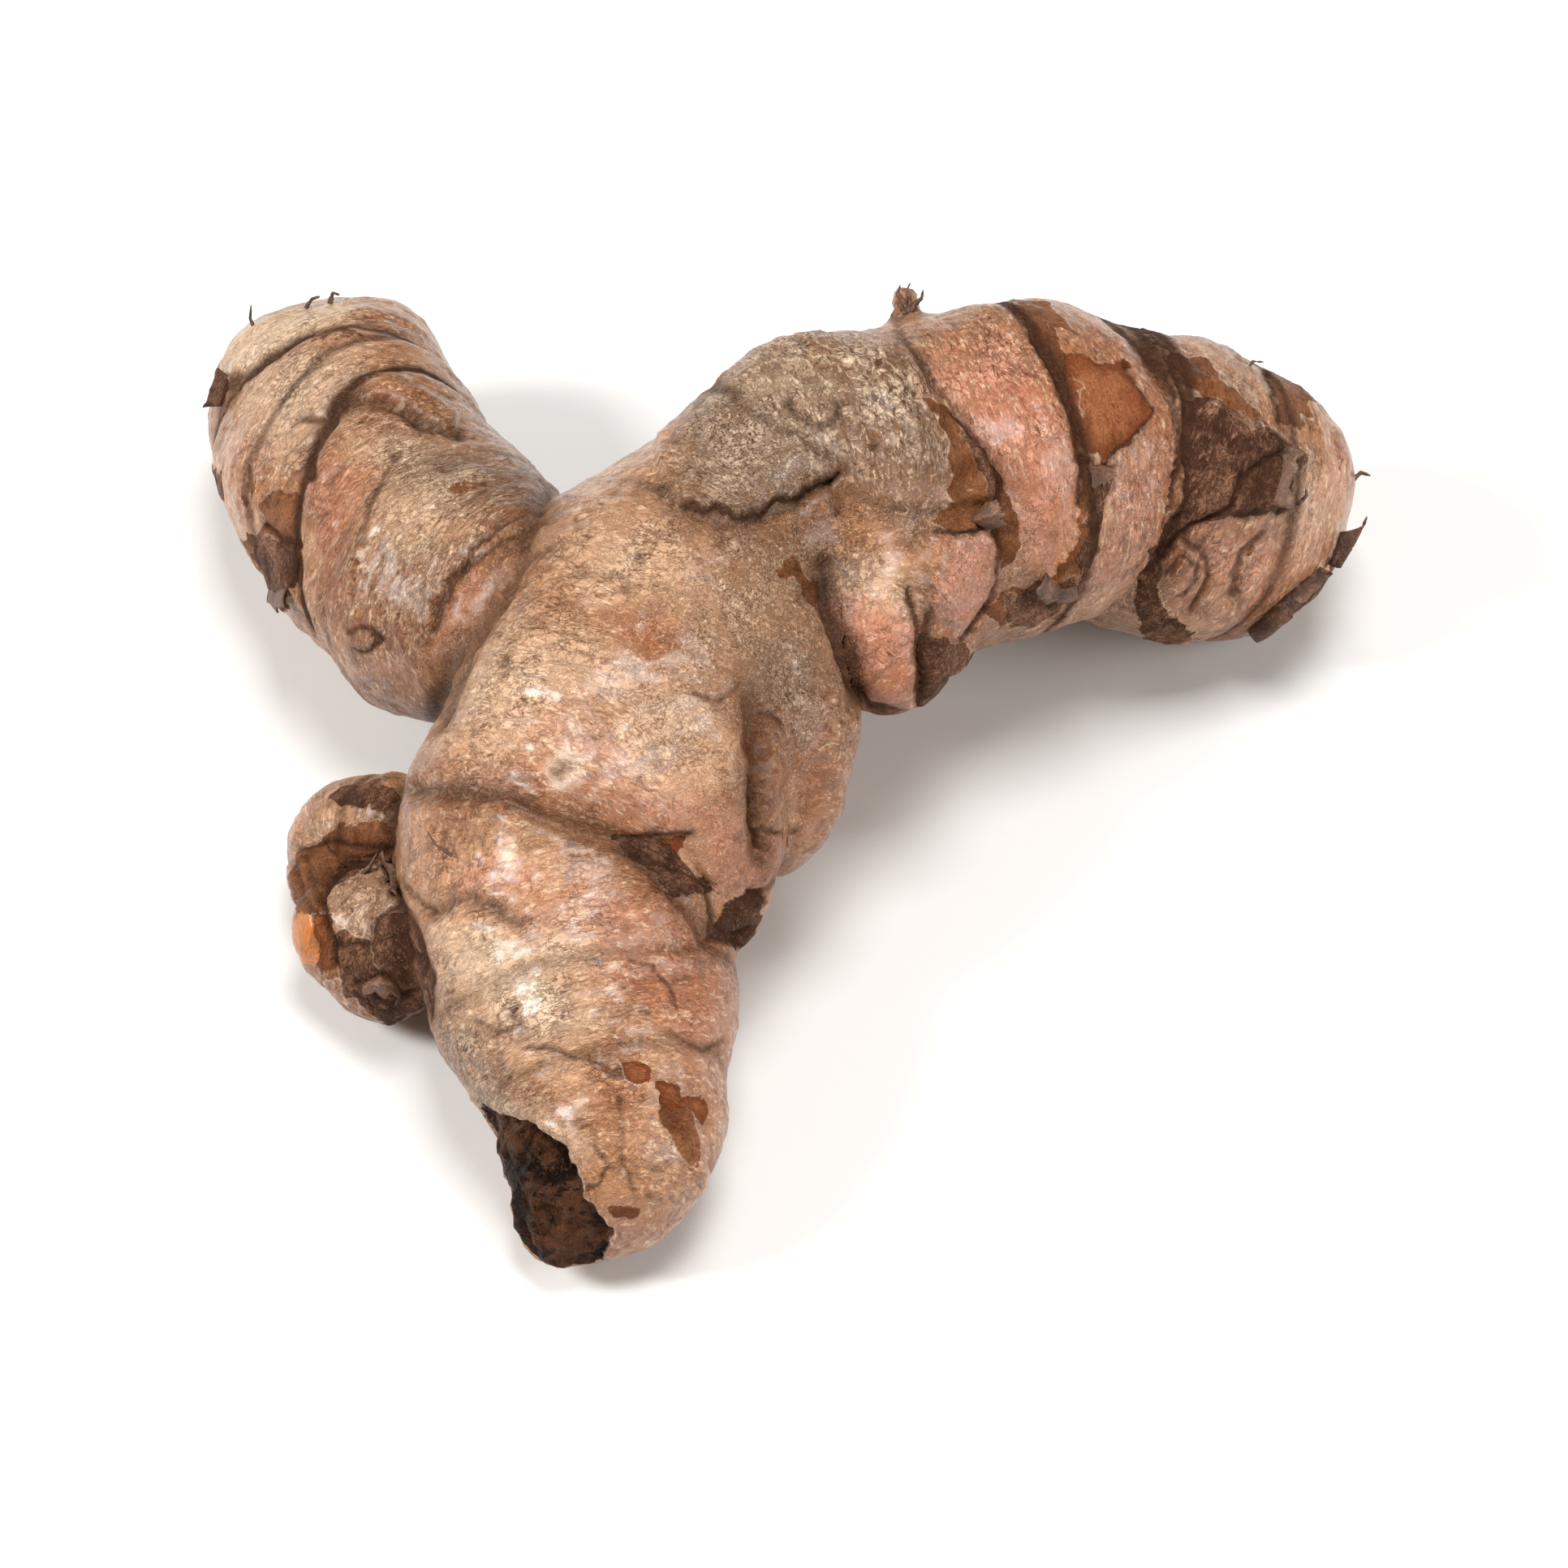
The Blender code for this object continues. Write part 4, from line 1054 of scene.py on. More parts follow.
class Skin:
    """The fine skin that stands for the CAD solid, with its tints.

    Lengths are millimetres. FACES_AWAY is the cosine past which a place faces away from the
    viewer; there KEPT_SHARE of the mesh is kept. Edges nearer a fold or torn edge than SPLIT_GAP
    are halved, and those nearer a fold no wider than FINE_FOLD than FINE_SPLIT_GAP once more.
    """

    VOXEL = 0.34
    FACES_AWAY = -0.1
    KEPT_SHARE = 0.6
    SPLIT_GAP = 0.42
    FINE_SPLIT_GAP = 0.17
    FINE_FOLD = 0.2
    RING_GROOVE_DEPTH = 0.42
    RING_GROOVE_WIDTH = 0.75
    RING_COLLAR_HEIGHT = 0.3
    RING_COLLAR_FADE = 2.6
    RING_COLLAR_LIP = 0.6
    RING_CAVITY_WIDTH = 0.4
    # The ring stain darkens each ring's groove with dirt and painted shade, a little past it.
    RING_STAIN_AND_SHADE = 0.9
    RING_STAIN_AND_SHADE_WIDTH = 0.42
    RING_STAIN_AND_SHADE_PAST = 0.15
    RING_SCALE_REACH = 2.6
    LUMP_HEIGHT = 0.2
    LUMP_WAVELENGTH = 11.0
    LUMP_WAVES = 7
    LUMP_SEED = 5
    TINT_RAGGED = 0.32
    RELIEF_RAGGED = 0.12
    # The width of the broad painted shade round each fold.
    CREASE_SHADE_WIDTH = 2.2
    WRINKLE_HEIGHT = 0.1
    PUCKER_HEIGHT = 0.05
    BARK_HEIGHT = 0.07
    SCALE_EDGE = 0.4
    TORN_EDGE = 0.2
    TINT_HEIGHTS = ((Tint.SCALE, 0.13), (Tint.BROWN, 0.06), (Tint.RUST, -0.12), (Tint.STUB, -0.25))

    def __init__(self, rhizome: Rhizome) -> None:
        """Keep the rhizome and make the noises."""
        self.rhizome = rhizome
        self.layout = rhizome.layout
        self.broad = Noise(3)
        self.fine = Noise(8)

    def build(self) -> bpy.types.Object:
        """Build the skin: sweep, join, settle on the union, carve, and store the tints.

        Returns:
            The skin's object.
        """
        mesh = self.thinned(grid_object("limb_tubes", joined(
            [limb.tube() for limb in self.rhizome.limbs.values()])))
        for gap, only_fine in ((self.SPLIT_GAP, False), (self.FINE_SPLIT_GAP, True)):
            self.split(mesh, gap, only_fine)
        found = self.rhizome.survey(self.rhizome.settle(corner_vectors(mesh, "co")))
        tints = self.tints(found)
        relief, cavity = self.relief(found, tints)
        placed = self.layout.metres(found.points + relief[:, None] * found.normals)
        placed[:, 2] = np.maximum(placed[:, 2], 0.0)
        mesh.vertices.foreach_set("co", placed.ravel())
        mesh.polygons.foreach_set("use_smooth", np.ones(len(mesh.polygons), dtype=bool))
        self.store(mesh, tints, {"cavity": cavity, "merge": found.merge}, found.grain)
        mesh.update()
        mesh.name = "rhizome_skin"
        LOG.info("skin: %d corners", len(mesh.vertices))
        return in_scene("rhizome_skin", mesh)

    def thinned(self, rough: bpy.types.Object) -> bpy.types.Mesh:
        """Join the tubes for good, and thin the mesh where it faces away from the viewer.

        Args:
            rough: the object of tubes, which is removed.

        Returns:
            The joined and thinned mesh.
        """
        modifier = rough.modifiers.new("join", "REMESH")
        modifier.mode = "VOXEL"
        modifier.voxel_size = self.VOXEL
        whole = modified_mesh(rough)
        rough.modifiers.clear()
        rough.data = whole
        turned = corner_vectors(whole, "normal") @ self.layout.toward_viewer
        away = np.nonzero(turned < self.FACES_AWAY)[0]
        rough.vertex_groups.new(name="away").add(away.tolist(), 1.0, "REPLACE")
        modifier = rough.modifiers.new("thin", "DECIMATE")
        modifier.vertex_group = "away"
        modifier.ratio = self.KEPT_SHARE
        mesh = modified_mesh(rough)
        bpy.data.objects.remove(rough)
        return mesh

    def split(self, mesh: bpy.types.Mesh, gap: float, only_fine: bool) -> None:
        """Halve the edges that lie near folds and torn edges on the seen side.

        Args:
            mesh: the mesh, changed in place.
            gap: how near is near, in millimetres.
            only_fine: whether only the narrowest folds count.
        """
        seen = self.layout.to_picture(corner_vectors(mesh, "co"))
        near = np.zeros(len(seen), dtype=bool)
        for fold in FOLDS:
            if fold.half_width <= self.FINE_FOLD or not only_fine:
                near |= line_distance(seen, fold.line) < gap
        for patch in PATCHES:
            if patch.tint in TORN and not only_fine:
                near |= np.abs(signed_depth(seen, patch.outline)) < 0.8 * gap
        near &= corner_vectors(mesh, "normal") @ self.layout.toward_viewer > self.FACES_AWAY
        ends = np.empty(len(mesh.edges) * 2, dtype=int)
        mesh.edges.foreach_get("vertices", ends)
        chosen = np.nonzero(near[ends.reshape(-1, 2)].all(axis=1))[0]
        grown = bmesh.new()
        grown.from_mesh(mesh)
        grown.edges.ensure_lookup_table()
        bmesh.ops.subdivide_edges(grown, edges=[grown.edges[i] for i in chosen], cuts=1,
                                  use_grid_fill=True)
        grown.to_mesh(mesh)
        grown.free()

    def store(self, mesh: bpy.types.Mesh, tints: dict[Tint, np.ndarray], others: dict[str, np.ndarray],
              grain: np.ndarray) -> None:
        """Keep what the material reads at the mesh's corners.

        Args:
            mesh: the skin's mesh.
            tints: how much of each tint every corner has.
            others: other amounts by name.
            grain: the coordinates that the skin's fibres follow.
        """
        named = {tint.value: amount for tint, amount in tints.items()} | others
        for name, amount in named.items():
            layer = mesh.attributes.new(name, "FLOAT", "POINT")
            layer.data.foreach_set("value", np.clip(amount, 0.0, 1.0).astype(np.float32))
        layer = mesh.attributes.new("grain", "FLOAT_VECTOR", "POINT")
        layer.data.foreach_set("vector", grain.astype(np.float32).ravel())

    def seen(self, points: np.ndarray, amount: float) -> np.ndarray:
        """Place points in the picture, stirred a little by a noise so that edges run ragged.

        Args:
            points: places in layout millimetres.
            amount: how far they may be stirred.

        Returns:
            Rows of across and up.
        """
        stir = np.stack([self.broad.layered(points / 1.1), self.fine.layered(points / 1.1 + 31.0)], axis=1)
        return self.layout.to_picture(points) + amount * stir

    def rings_past(self, found: Survey) -> list[tuple[np.ndarray, np.ndarray, float]]:
        """Place all points along their limbs against every ring.

        Args:
            found: what the union says about the points.

        Returns:
            For each ring: how far past it each point is, its limb's share there, its strength.
        """
        return [(found.along[:, order] - ring.station - ring.lean * found.facing[:, order]
                 - ring.slant * found.siding[:, order], found.shares[:, order], ring.share)
                for order, limb in enumerate(self.rhizome.limbs.values()) for ring in limb.rings]

    def tints(self, found: Survey) -> dict[Tint, np.ndarray]:
        """Work out the tints: patches on the seen side, folds and pits darkened with dirt and painted shade,
        and the rings'.

        Args:
            found: what the union says about the corners.

        Returns:
            How much of each tint every corner has.
        """
        seen = self.seen(found.points, self.TINT_RAGGED)
        facing = np.clip(1.0 + 5.0 * (found.normals @ self.layout.toward_viewer), 0.0, 1.0)
        tints = {tint: np.zeros(len(seen)) for tint in Tint}
        for patch in PATCHES:
            depth = ramp(signed_depth(seen, patch.outline), 2.0 * patch.softness)
            raise_tint(tints, patch.tint, patch.strength * depth * facing)
        for crease in CREASES + FOLDS:
            gap = line_distance(seen, crease.line)
            # Each fold gets a dark line of dirt and painted shade, and round it a broad soft painted shade.
            stain_and_shade = crease.stain_and_shade * bell(gap, 1.1 * crease.half_width)
            crease_shade = 0.9 * crease.depth * crease.stain_and_shade * bell(gap, self.CREASE_SHADE_WIDTH)
            raise_tint(tints, Tint.DIRT_AND_SHADE, np.maximum(stain_and_shade, crease_shade) * facing)
        # Dirt and painted shade darken each pit.
        for pit in PITS:
            raise_tint(tints, Tint.DIRT_AND_SHADE, bell(bud_gap(seen, pit), 1.2 * pit.radius) * facing)
        self.add_ring_tints(found, facing, tints)
        return tints

    def add_ring_tints(self, found: Survey, facing: np.ndarray, tints: dict[Tint, np.ndarray]) -> None:
        """Darken the ring grooves with dirt and painted shade, and leave torn scales beyond the rings on the
        hidden side.

        Args:
            found: what the union says about the corners.
            facing: how far each corner is on the seen side, 0 to 1.
            tints: the tints, raised in place.
        """
        hidden = 1.0 - facing
        wander = self.broad.layered(found.points / 3.1 + 11.0)
        for ring_past, share, strength in self.rings_past(found):
            past = ring_past + 0.35 * wander
            # Dirt and painted shade in each ring's groove.
            raise_tint(tints, Tint.DIRT_AND_SHADE, self.RING_STAIN_AND_SHADE * strength * share
                       * bell(past - self.RING_STAIN_AND_SHADE_PAST, self.RING_STAIN_AND_SHADE_WIDTH))
            reach = self.RING_SCALE_REACH * np.clip(0.3 + wander, 0.0, 1.5)
            band = np.clip(past / 0.15, 0.0, 1.0) * np.clip((reach - past) / 0.2, 0.0, 1.0)
            torn = strength * share * band * hidden
            raise_tint(tints, Tint.SCALE, np.where(wander > 0.0, torn, 0.0))
            raise_tint(tints, Tint.RUST, np.where(wander > 0.35, torn, 0.0))

    def relief(self, found: Survey, tints: dict[Tint, np.ndarray]) -> tuple[np.ndarray, np.ndarray]:
        """Add up the carving: rings, creases, scales, buds, lumps, wrinkles and bark.

        A ring is a bell-shaped groove under a collar that fades back along the limb. Wrinkles
        follow each limb, and give way to a common pattern where limbs merge.

        Args:
            found: what the union says about the corners.
            tints: how much of each tint every corner has.

        Returns:
            The height of each corner over the union, and how deep in a groove it lies, 0 to 1.
        """
        points = found.points
        relief, grooves = self.picture_relief(found)
        relief += self.lumps(points)
        for past, limb_share, strength in self.rings_past(found):
            groove = self.RING_GROOVE_DEPTH * bell(past, self.RING_GROOVE_WIDTH)
            collar = np.where(past < 0.0, np.exp(past / self.RING_COLLAR_FADE),
                              bell(past, self.RING_COLLAR_LIP))
            share = limb_share * strength
            relief += share * (self.RING_COLLAR_HEIGHT * collar - groove)
            grooves += share * bell(past, self.RING_CAVITY_WIDTH)
        apart = 1.0 - found.merge
        wrinkle = apart * self.broad.layered(found.grain * np.array([0.75, 0.16, 0.16]))
        wrinkle += found.merge * self.broad.layered(points / 2.2 + 3.0)
        pucker = apart * self.fine.layered(found.grain * np.array([1.5, 0.34, 0.34]) + 5.0, 2)
        bark = self.fine.layered(points / 0.95)
        rough = 1.0 + 0.4 * tints[Tint.GREY] + 3.0 * tints[Tint.STUB]
        fine = (self.WRINKLE_HEIGHT * wrinkle + self.PUCKER_HEIGHT * pucker
                + self.BARK_HEIGHT * bark * rough)
        relief += fine
        for tint, height in self.TINT_HEIGHTS:
            relief += height * ramp(tints[tint] - 0.5, self.TORN_EDGE)
        return relief, np.clip(grooves + np.clip(-0.06 - fine, 0.0, 1.0) / 0.2, 0.0, 1.0)

    def picture_relief(self, found: Survey) -> tuple[np.ndarray, np.ndarray]:
        """Cut the creases and pits, and raise the scales and buds, on the seen side.

        Args:
            found: what the union says about the corners.

        Returns:
            The height added, and how deep in a crease each corner lies.
        """
        seen = self.seen(found.points, self.RELIEF_RAGGED)
        facing = np.clip(4.0 * (found.normals @ self.layout.toward_viewer), 0.0, 1.0)
        relief = np.zeros(len(seen))
        grooves = np.zeros(len(seen))
        for crease in CREASES + FOLDS:
            cut = bell(line_distance(seen, crease.line), crease.half_width)
            relief -= crease.depth * cut
            grooves = np.maximum(grooves, crease.stain_and_shade * cut)
        for scale in SCALES:
            relief += scale.height * ramp(signed_depth(seen, scale.outline), self.SCALE_EDGE)
        for bud in BUDS + DIMPLES + PITS:
            relief += bud.height * np.clip(1.0 - (bud_gap(seen, bud) / bud.radius) ** 2, 0.0, 1.0)
        return relief * facing, grooves * facing

    def lumps(self, points: np.ndarray) -> np.ndarray:
        """Add soft uneven swellings: a sum of sine waves with random headings and lengths.

        Args:
            points: places in layout millimetres.

        Returns:
            The height at each point.
        """
        chooser = np.random.default_rng(self.LUMP_SEED)
        relief = np.zeros(len(points))
        for _ in range(self.LUMP_WAVES):
            heading = unit(chooser.normal(size=3))
            pace = 2.0 * math.pi / (self.LUMP_WAVELENGTH * chooser.uniform(0.6, 1.4))
            relief += np.sin(points @ heading * pace + chooser.uniform(0.0, 2.0 * math.pi))
        return self.LUMP_HEIGHT * relief / math.sqrt(self.LUMP_WAVES / 2.0)


def resampled(line: tuple[Corner, ...], count: int) -> np.ndarray:
    """Set evenly spaced points along a line of joined corners.

    Args:
        line: the corners, in order.
        count: how many points to set.

    Returns:
        Rows of across and up.
    """
    corners = np.asarray(line, dtype=float)
    marks = np.concatenate([[0.0], np.cumsum(np.linalg.norm(np.diff(corners, axis=0), axis=1))])
    at = np.linspace(0.0, marks[-1], count)
    return np.stack([np.interp(at, marks, corners[:, 0]), np.interp(at, marks, corners[:, 1])], axis=1)


class Trimmings:
    """The papery flaps and dried root strands that stand on the skin.

    Lengths are layout millimetres, but THICKNESS and FLOOR_GAP are metres.
    """

    SINK = 0.12
    THICKNESS = 0.00013
    FLOOR_GAP = 0.0001
    STATIONS = 26
    FLAP_STEPS = 9
    HINGE_SHARE = 0.05
    STRAND_SIDES = 8
    RIPPLE = 0.16
    RAGGED_EDGE = 0.45

    def __init__(self, rhizome: Rhizome) -> None:
        """Keep the rhizome and make the noise."""
        self.rhizome = rhizome
        self.layout = rhizome.layout
        self.noise = Noise(21)

    def build(self) -> list[bpy.types.Object]:
        """Build all flaps as one piece and all strands as another.

        Returns:
            Both objects.
        """
        flaps = self.gathered("paper_flaps", [self.flap(flap, order) for order, flap in enumerate(FLAPS)])
        modifier = flaps.modifiers.new("thickness", "SOLIDIFY")
        modifier.thickness = self.THICKNESS
        modifier.offset = 0.0
        strands = self.gathered("root_strands",
                                [self.strand(strand, order) for order, strand in enumerate(STRANDS)])
        return [flaps, strands]

    def gathered(self, name: str, grids: list[Grid]) -> bpy.types.Object:
        """Make one object of several grids, kept off the floor.

        Args:
            name: the object's name.
            grids: the grids, in layout millimetres.

        Returns:
            The object.
        """
        corners, quads = joined(grids)
        placed = self.layout.metres(corners)
        placed[:, 2] = np.maximum(placed[:, 2], self.FLOOR_GAP)
        LOG.info("%s: %d quads", name, len(quads))
        return grid_object(name, (placed, quads))

    def carried(self, roots: np.ndarray, picture: np.ndarray, lift: np.ndarray) -> np.ndarray:
        """Set picture points at the depth of surface points, lifted toward the viewer.

        Args:
            roots: the surface points, in layout millimetres.
            picture: rows of across and up.
            lift: how far each point is lifted.

        Returns:
            Places in layout millimetres.
        """
        away = roots[:, 1] * math.cos(self.layout.look_down) - roots[:, 2] * math.sin(self.layout.look_down)
        placed = self.layout.to_space(np.column_stack([picture, away]))
        return placed + lift[:, None] * self.layout.toward_viewer

    def flap(self, flap: Flap, order: int) -> Grid:
        """Lay a flap on a grid of stations along the hinge by steps out to the free edge.

        Each corner lies part of the way from the hinge to the free edge, which stops short by a
        noise so that it runs ragged, plus a half sine's bulge and a ripple along the skin's normal.

        Args:
            flap: the flap.
            order: its place in the list, which picks its noise.

        Returns:
            The corners, and the quads as rows of four indices.
        """
        hinge = resampled(flap.hinge, self.STATIONS)
        roots, normals = self.rhizome.seen_at(hinge)
        tips = self.carried(roots, resampled(flap.edge, self.STATIONS), np.full(self.STATIONS, flap.lift))
        along = np.column_stack([hinge * 0.9, np.full(self.STATIONS, 3.7 * order)])
        short = self.RAGGED_EDGE * np.clip(0.25 + self.noise.layered(along * 1.6), 0.0, 1.0)
        out = np.linspace(0.0, 1.0, self.FLAP_STEPS)[:, None] * (1.0 - short)[None, :]
        ripple = self.RIPPLE * self.noise.layered(along + 9.0, 2)[None, :] * out
        rise = flap.curl * np.sin(math.pi * out) + ripple - self.SINK * (out < self.HINGE_SHARE)
        corners = roots + out[:, :, None] * (tips - roots) + rise[:, :, None] * normals
        return corners.reshape(-1, 3), grid_quads(self.FLAP_STEPS, self.STATIONS)

    def strand(self, strand: Strand, order: int) -> Grid:
        """Sweep a strand along its path, thinning toward its end.

        The radius falls with the square root of the way left and wavers with a noise.

        Args:
            strand: the strand.
            order: its place in the list, which picks its noise.

        Returns:
            The corners, and the quads as rows of four indices.
        """
        line = resampled(strand.path, self.STATIONS)
        root, normal = self.rhizome.seen_at(line[:1])
        share = np.linspace(0.0, 1.0, self.STATIONS)
        centres = self.carried(np.repeat(root, self.STATIONS, axis=0), line, strand.lift * share)
        centres = centres - self.SINK * (1.0 - share)[:, None] * normal
        waver = self.noise.layered(np.column_stack([share * 5.0, share * 0.0, share + 5.1 * order]), 2)
        radius = strand.radius * (np.sqrt(1.02 - share) + 0.25 * waver)
        return swept(centres, np.abs(radius), unit(np.gradient(centres, axis=0)),
                     self.layout.toward_viewer, self.STRAND_SIDES)


class NodePlan:
    """Places nodes in a tree and joins them.

    Args:
        tree: the material's or group's node tree.
    """

    def __init__(self, tree: bpy.types.NodeTree) -> None:
        """Keep the tree."""
        self.tree = tree

    def place(self, kind: str, **settings: object) -> bpy.types.Node:
        """Add a node.

        Args:
            kind: its type.
            settings: its options by name.

        Returns:
            The node.
        """
        node = self.tree.nodes.new(kind)
        for name, value in settings.items():
            setattr(node, name, value)
        return node

    def feed(self, socket: bpy.types.NodeSocket, value: object) -> None:
        """Give a socket its value.

        Args:
            socket: the socket.
            value: a value to set, or another socket to join to it.
        """
        if isinstance(value, bpy.types.NodeSocket):
            self.tree.links.new(value, socket)
        else:
            socket.default_value = value

    def calculate(self, operation: str, *values: object, clamp: bool = False) -> bpy.types.NodeSocket:
        """Do one sum on numbers.

        Args:
            operation: the kind of sum.
            values: the numbers or sockets that go in.
            clamp: whether the result is kept between 0 and 1.

        Returns:
            The result.
        """
        node = self.place("ShaderNodeMath", operation=operation, use_clamp=clamp)
        for socket, value in zip(node.inputs, values):
            self.feed(socket, value)
        return node.outputs[0]

    def times(self, first: object, second: object) -> bpy.types.NodeSocket:
        """Multiply two numbers."""
        return self.calculate("MULTIPLY", first, second)

    def times_plus(self, first: object, second: object, more: object,
                   clamp: bool = False) -> bpy.types.NodeSocket:
        """Multiply two numbers and add a third."""
        return self.calculate("MULTIPLY_ADD", first, second, more, clamp=clamp)

    def stretch(self, vector: bpy.types.NodeSocket, scale: tuple[float, float, float],
                shift: float = 0.0) -> bpy.types.NodeSocket:
        """Scale a vector and shift it.

        Args:
            vector: the vector.
            scale: its scale in x, y and z.
            shift: what is added to all three.

        Returns:
            The result.
        """
        node = self.place("ShaderNodeVectorMath", operation="MULTIPLY_ADD")
        for socket, value in zip(node.inputs, (vector, scale, (shift, shift, shift))):
            self.feed(socket, value)
        return node.outputs[0]

    def noise(self, vector: bpy.types.NodeSocket, scale: float, detail: float = 3.0,
              roughness: float = 0.55, distortion: float = 0.0) -> bpy.types.NodeSocket:
        """Give layered noise between 0 and 1.

        Args:
            vector: where it is read.
            scale: how fine it is.
            detail: how many finer layers it has.
            roughness: how strong those are.
            distortion: how far it is stirred.

        Returns:
            The noise.
        """
        node = self.place("ShaderNodeTexNoise")
        for name, value in (("Vector", vector), ("Scale", scale), ("Detail", detail),
                            ("Roughness", roughness), ("Distortion", distortion)):
            self.feed(node.inputs[name], value)
        return node.outputs[0]

    def between(self, value: object, low: float, high: float,
                to_low: float = 0.0, to_high: float = 1.0) -> bpy.types.NodeSocket:
        """Rise softly from one number to another as a value passes from low to high.

        Args:
            value: the value.
            low: where the rise starts.
            high: where it ends, which may lie below the start.
            to_low: what comes out at the start.
            to_high: what comes out at the end.

        Returns:
            The result.
        """
        node = self.place("ShaderNodeMapRange", interpolation_type="SMOOTHSTEP")
        for socket, number in zip(node.inputs, (value, low, high, to_low, to_high)):
            self.feed(socket, number)
        return node.outputs[0]

    def mix(self, share: object, first: object, second: object) -> bpy.types.NodeSocket:
        """Mix two colours.

        Args:
            share: how much of the second colour there is.
            first: the first colour.
            second: the second colour.

        Returns:
            The mixed colour.
        """
        node = self.place("ShaderNodeMix", data_type="RGBA", clamp_factor=True)
        self.feed(node.inputs[0], share)
        for socket, colour in ((node.inputs[6], first), (node.inputs[7], second)):
            self.feed(socket, colour if isinstance(colour, bpy.types.NodeSocket) else (*colour, 1.0))
        return node.outputs[2]

    def stored(self, name: str, output: str = "Fac") -> bpy.types.NodeSocket:
        """Read a value that is stored at the mesh's corners."""
        return self.place("ShaderNodeAttribute", attribute_name=name).outputs[output]

    def layers(self, colour: object, rows: tuple[tuple, ...]) -> object:
        """Lay colours over one another, each where a pattern rises.

        Args:
            colour: the lowest colour.
            rows: for each layer its pattern, the two values between which it rises, its share at
                each of them, and its colour.

        Returns:
            The colour on top.
        """
        for pattern, low, high, to_low, to_high, laid in rows:
            colour = self.mix(self.between(pattern, low, high, to_low, to_high), colour, laid)
        return colour

    def bump(self, height: bpy.types.NodeSocket, distance: float) -> bpy.types.NodeSocket:
        """Turn a height into a normal.

        Args:
            height: the height, as a share of the distance.
            distance: the full height, in metres.

        Returns:
            The normal.
        """
        node = self.place("ShaderNodeBump")
        self.feed(node.inputs["Distance"], distance)
        self.feed(node.inputs["Height"], height)
        return node.outputs["Normal"]

    def group(self, tree: bpy.types.NodeTree, **values: object) -> bpy.types.Node:
        """Place a node group.

        Args:
            tree: the group.
            values: what its inputs get, by name.

        Returns:
            The group's node.
        """
        node = self.place("ShaderNodeGroup", node_tree=tree)
        for name, value in values.items():
            self.feed(node.inputs[name], value)
        return node


def new_material(name: str) -> tuple[bpy.types.Material, NodePlan, bpy.types.Node]:
    """Make a material.

    Args:
        name: its name.

    Returns:
        The material, its node plan and its shader.
    """
    made = bpy.data.materials.new(name)
    made.use_nodes = True
    return made, NodePlan(made.node_tree), made.node_tree.nodes["Principled BSDF"]


def new_group(name: str, inputs: dict[str, str], outputs: dict[str, str]) -> tuple[
        NodePlan, bpy.types.Node, bpy.types.Node]:
    """Start a shader node group.

    Args:
        name: its name.
        inputs: the kind of each input by name.
        outputs: the kind of each output by name.

    Returns:
        Its plan, its input node and its output node.
    """
    tree = bpy.data.node_groups.new(name, "ShaderNodeTree")
    for side, sockets in (("INPUT", inputs), ("OUTPUT", outputs)):
        for socket, kind in sockets.items():
            tree.interface.new_socket(socket, in_out=side, socket_type=kind)
    plan = NodePlan(tree)
    return plan, plan.place("NodeGroupInput"), plan.place("NodeGroupOutput")


def grain_group() -> bpy.types.NodeTree:
    """Make the rhizome's grain: threads round the limb, a pebbled relief, fine cracks and mottling.

    The crack value is 0 along the thin lines where either of two noises crosses a half, and 1
    between them. Where limbs merge, patterns that follow one limb give way to common ones.

    Returns:
        The group.
    """
    vector, number = "NodeSocketVector", "NodeSocketFloat"
    plan, given, result = new_group("skin_grain", {"Grain": vector, "Place": vector, "Merge": number},
                                    {"Thread": number, "Pebble": number, "Crack": number,
                                     "Fleck": number, "Mottle": number, "Field": number})
    grain, place = given.outputs["Grain"], given.outputs["Place"]

    def merged(limb: bpy.types.NodeSocket, common: bpy.types.NodeSocket) -> bpy.types.NodeSocket:
        """Pass from a limb's own pattern to the common one where limbs merge.

        Args:
            limb: the limb's pattern.
            common: the common pattern.

        Returns:
            The pattern.
        """
        node = plan.place("ShaderNodeMix", data_type="FLOAT")
        for socket, value in zip((node.inputs[0], node.inputs[2], node.inputs[3]),
                                 (given.outputs["Merge"], limb, common)):
            plan.feed(socket, value)
        return node.outputs[0]

    thread = merged(plan.noise(plan.stretch(grain, (4.2, 1.5, 1.5)), 1.0, 3.0, 0.6, 0.9),
                    plan.noise(place, 3300.0, 3.0, 0.62, 1.8))
    pebble = merged(plan.noise(plan.stretch(grain, (2.1, 1.2, 1.2), 4.0), 1.0, 2.0, 0.5, 0.4),
                    plan.noise(place, 1700.0, 2.0, 0.5, 0.4))
    cracks = []
    for wave in (merged(plan.noise(plan.stretch(grain, (1.1, 0.5, 0.5), 9.0), 1.0, 4.0, 0.65, 0.8),
                        plan.noise(place, 800.0, 4.0, 0.65, 0.8)),
                 plan.noise(place, 1200.0, 4.0, 0.65, 0.8)):
        off = plan.calculate("ABSOLUTE", plan.calculate("SUBTRACT", wave, 0.5))
        cracks.append(plan.between(off, 0.0, 0.035))
    made = {"Thread": thread, "Pebble": pebble, "Crack": plan.times(*cracks),
            "Fleck": plan.noise(place, 1100.0, 4.0, 0.65, 0.5),
            "Mottle": plan.noise(place, 330.0, 5.0, 0.6, 0.5),
            "Field": plan.noise(place, 95.0, 3.0, 0.5, 0.3)}
    for name, socket in made.items():
        plan.feed(result.inputs[name], socket)
    return plan.tree


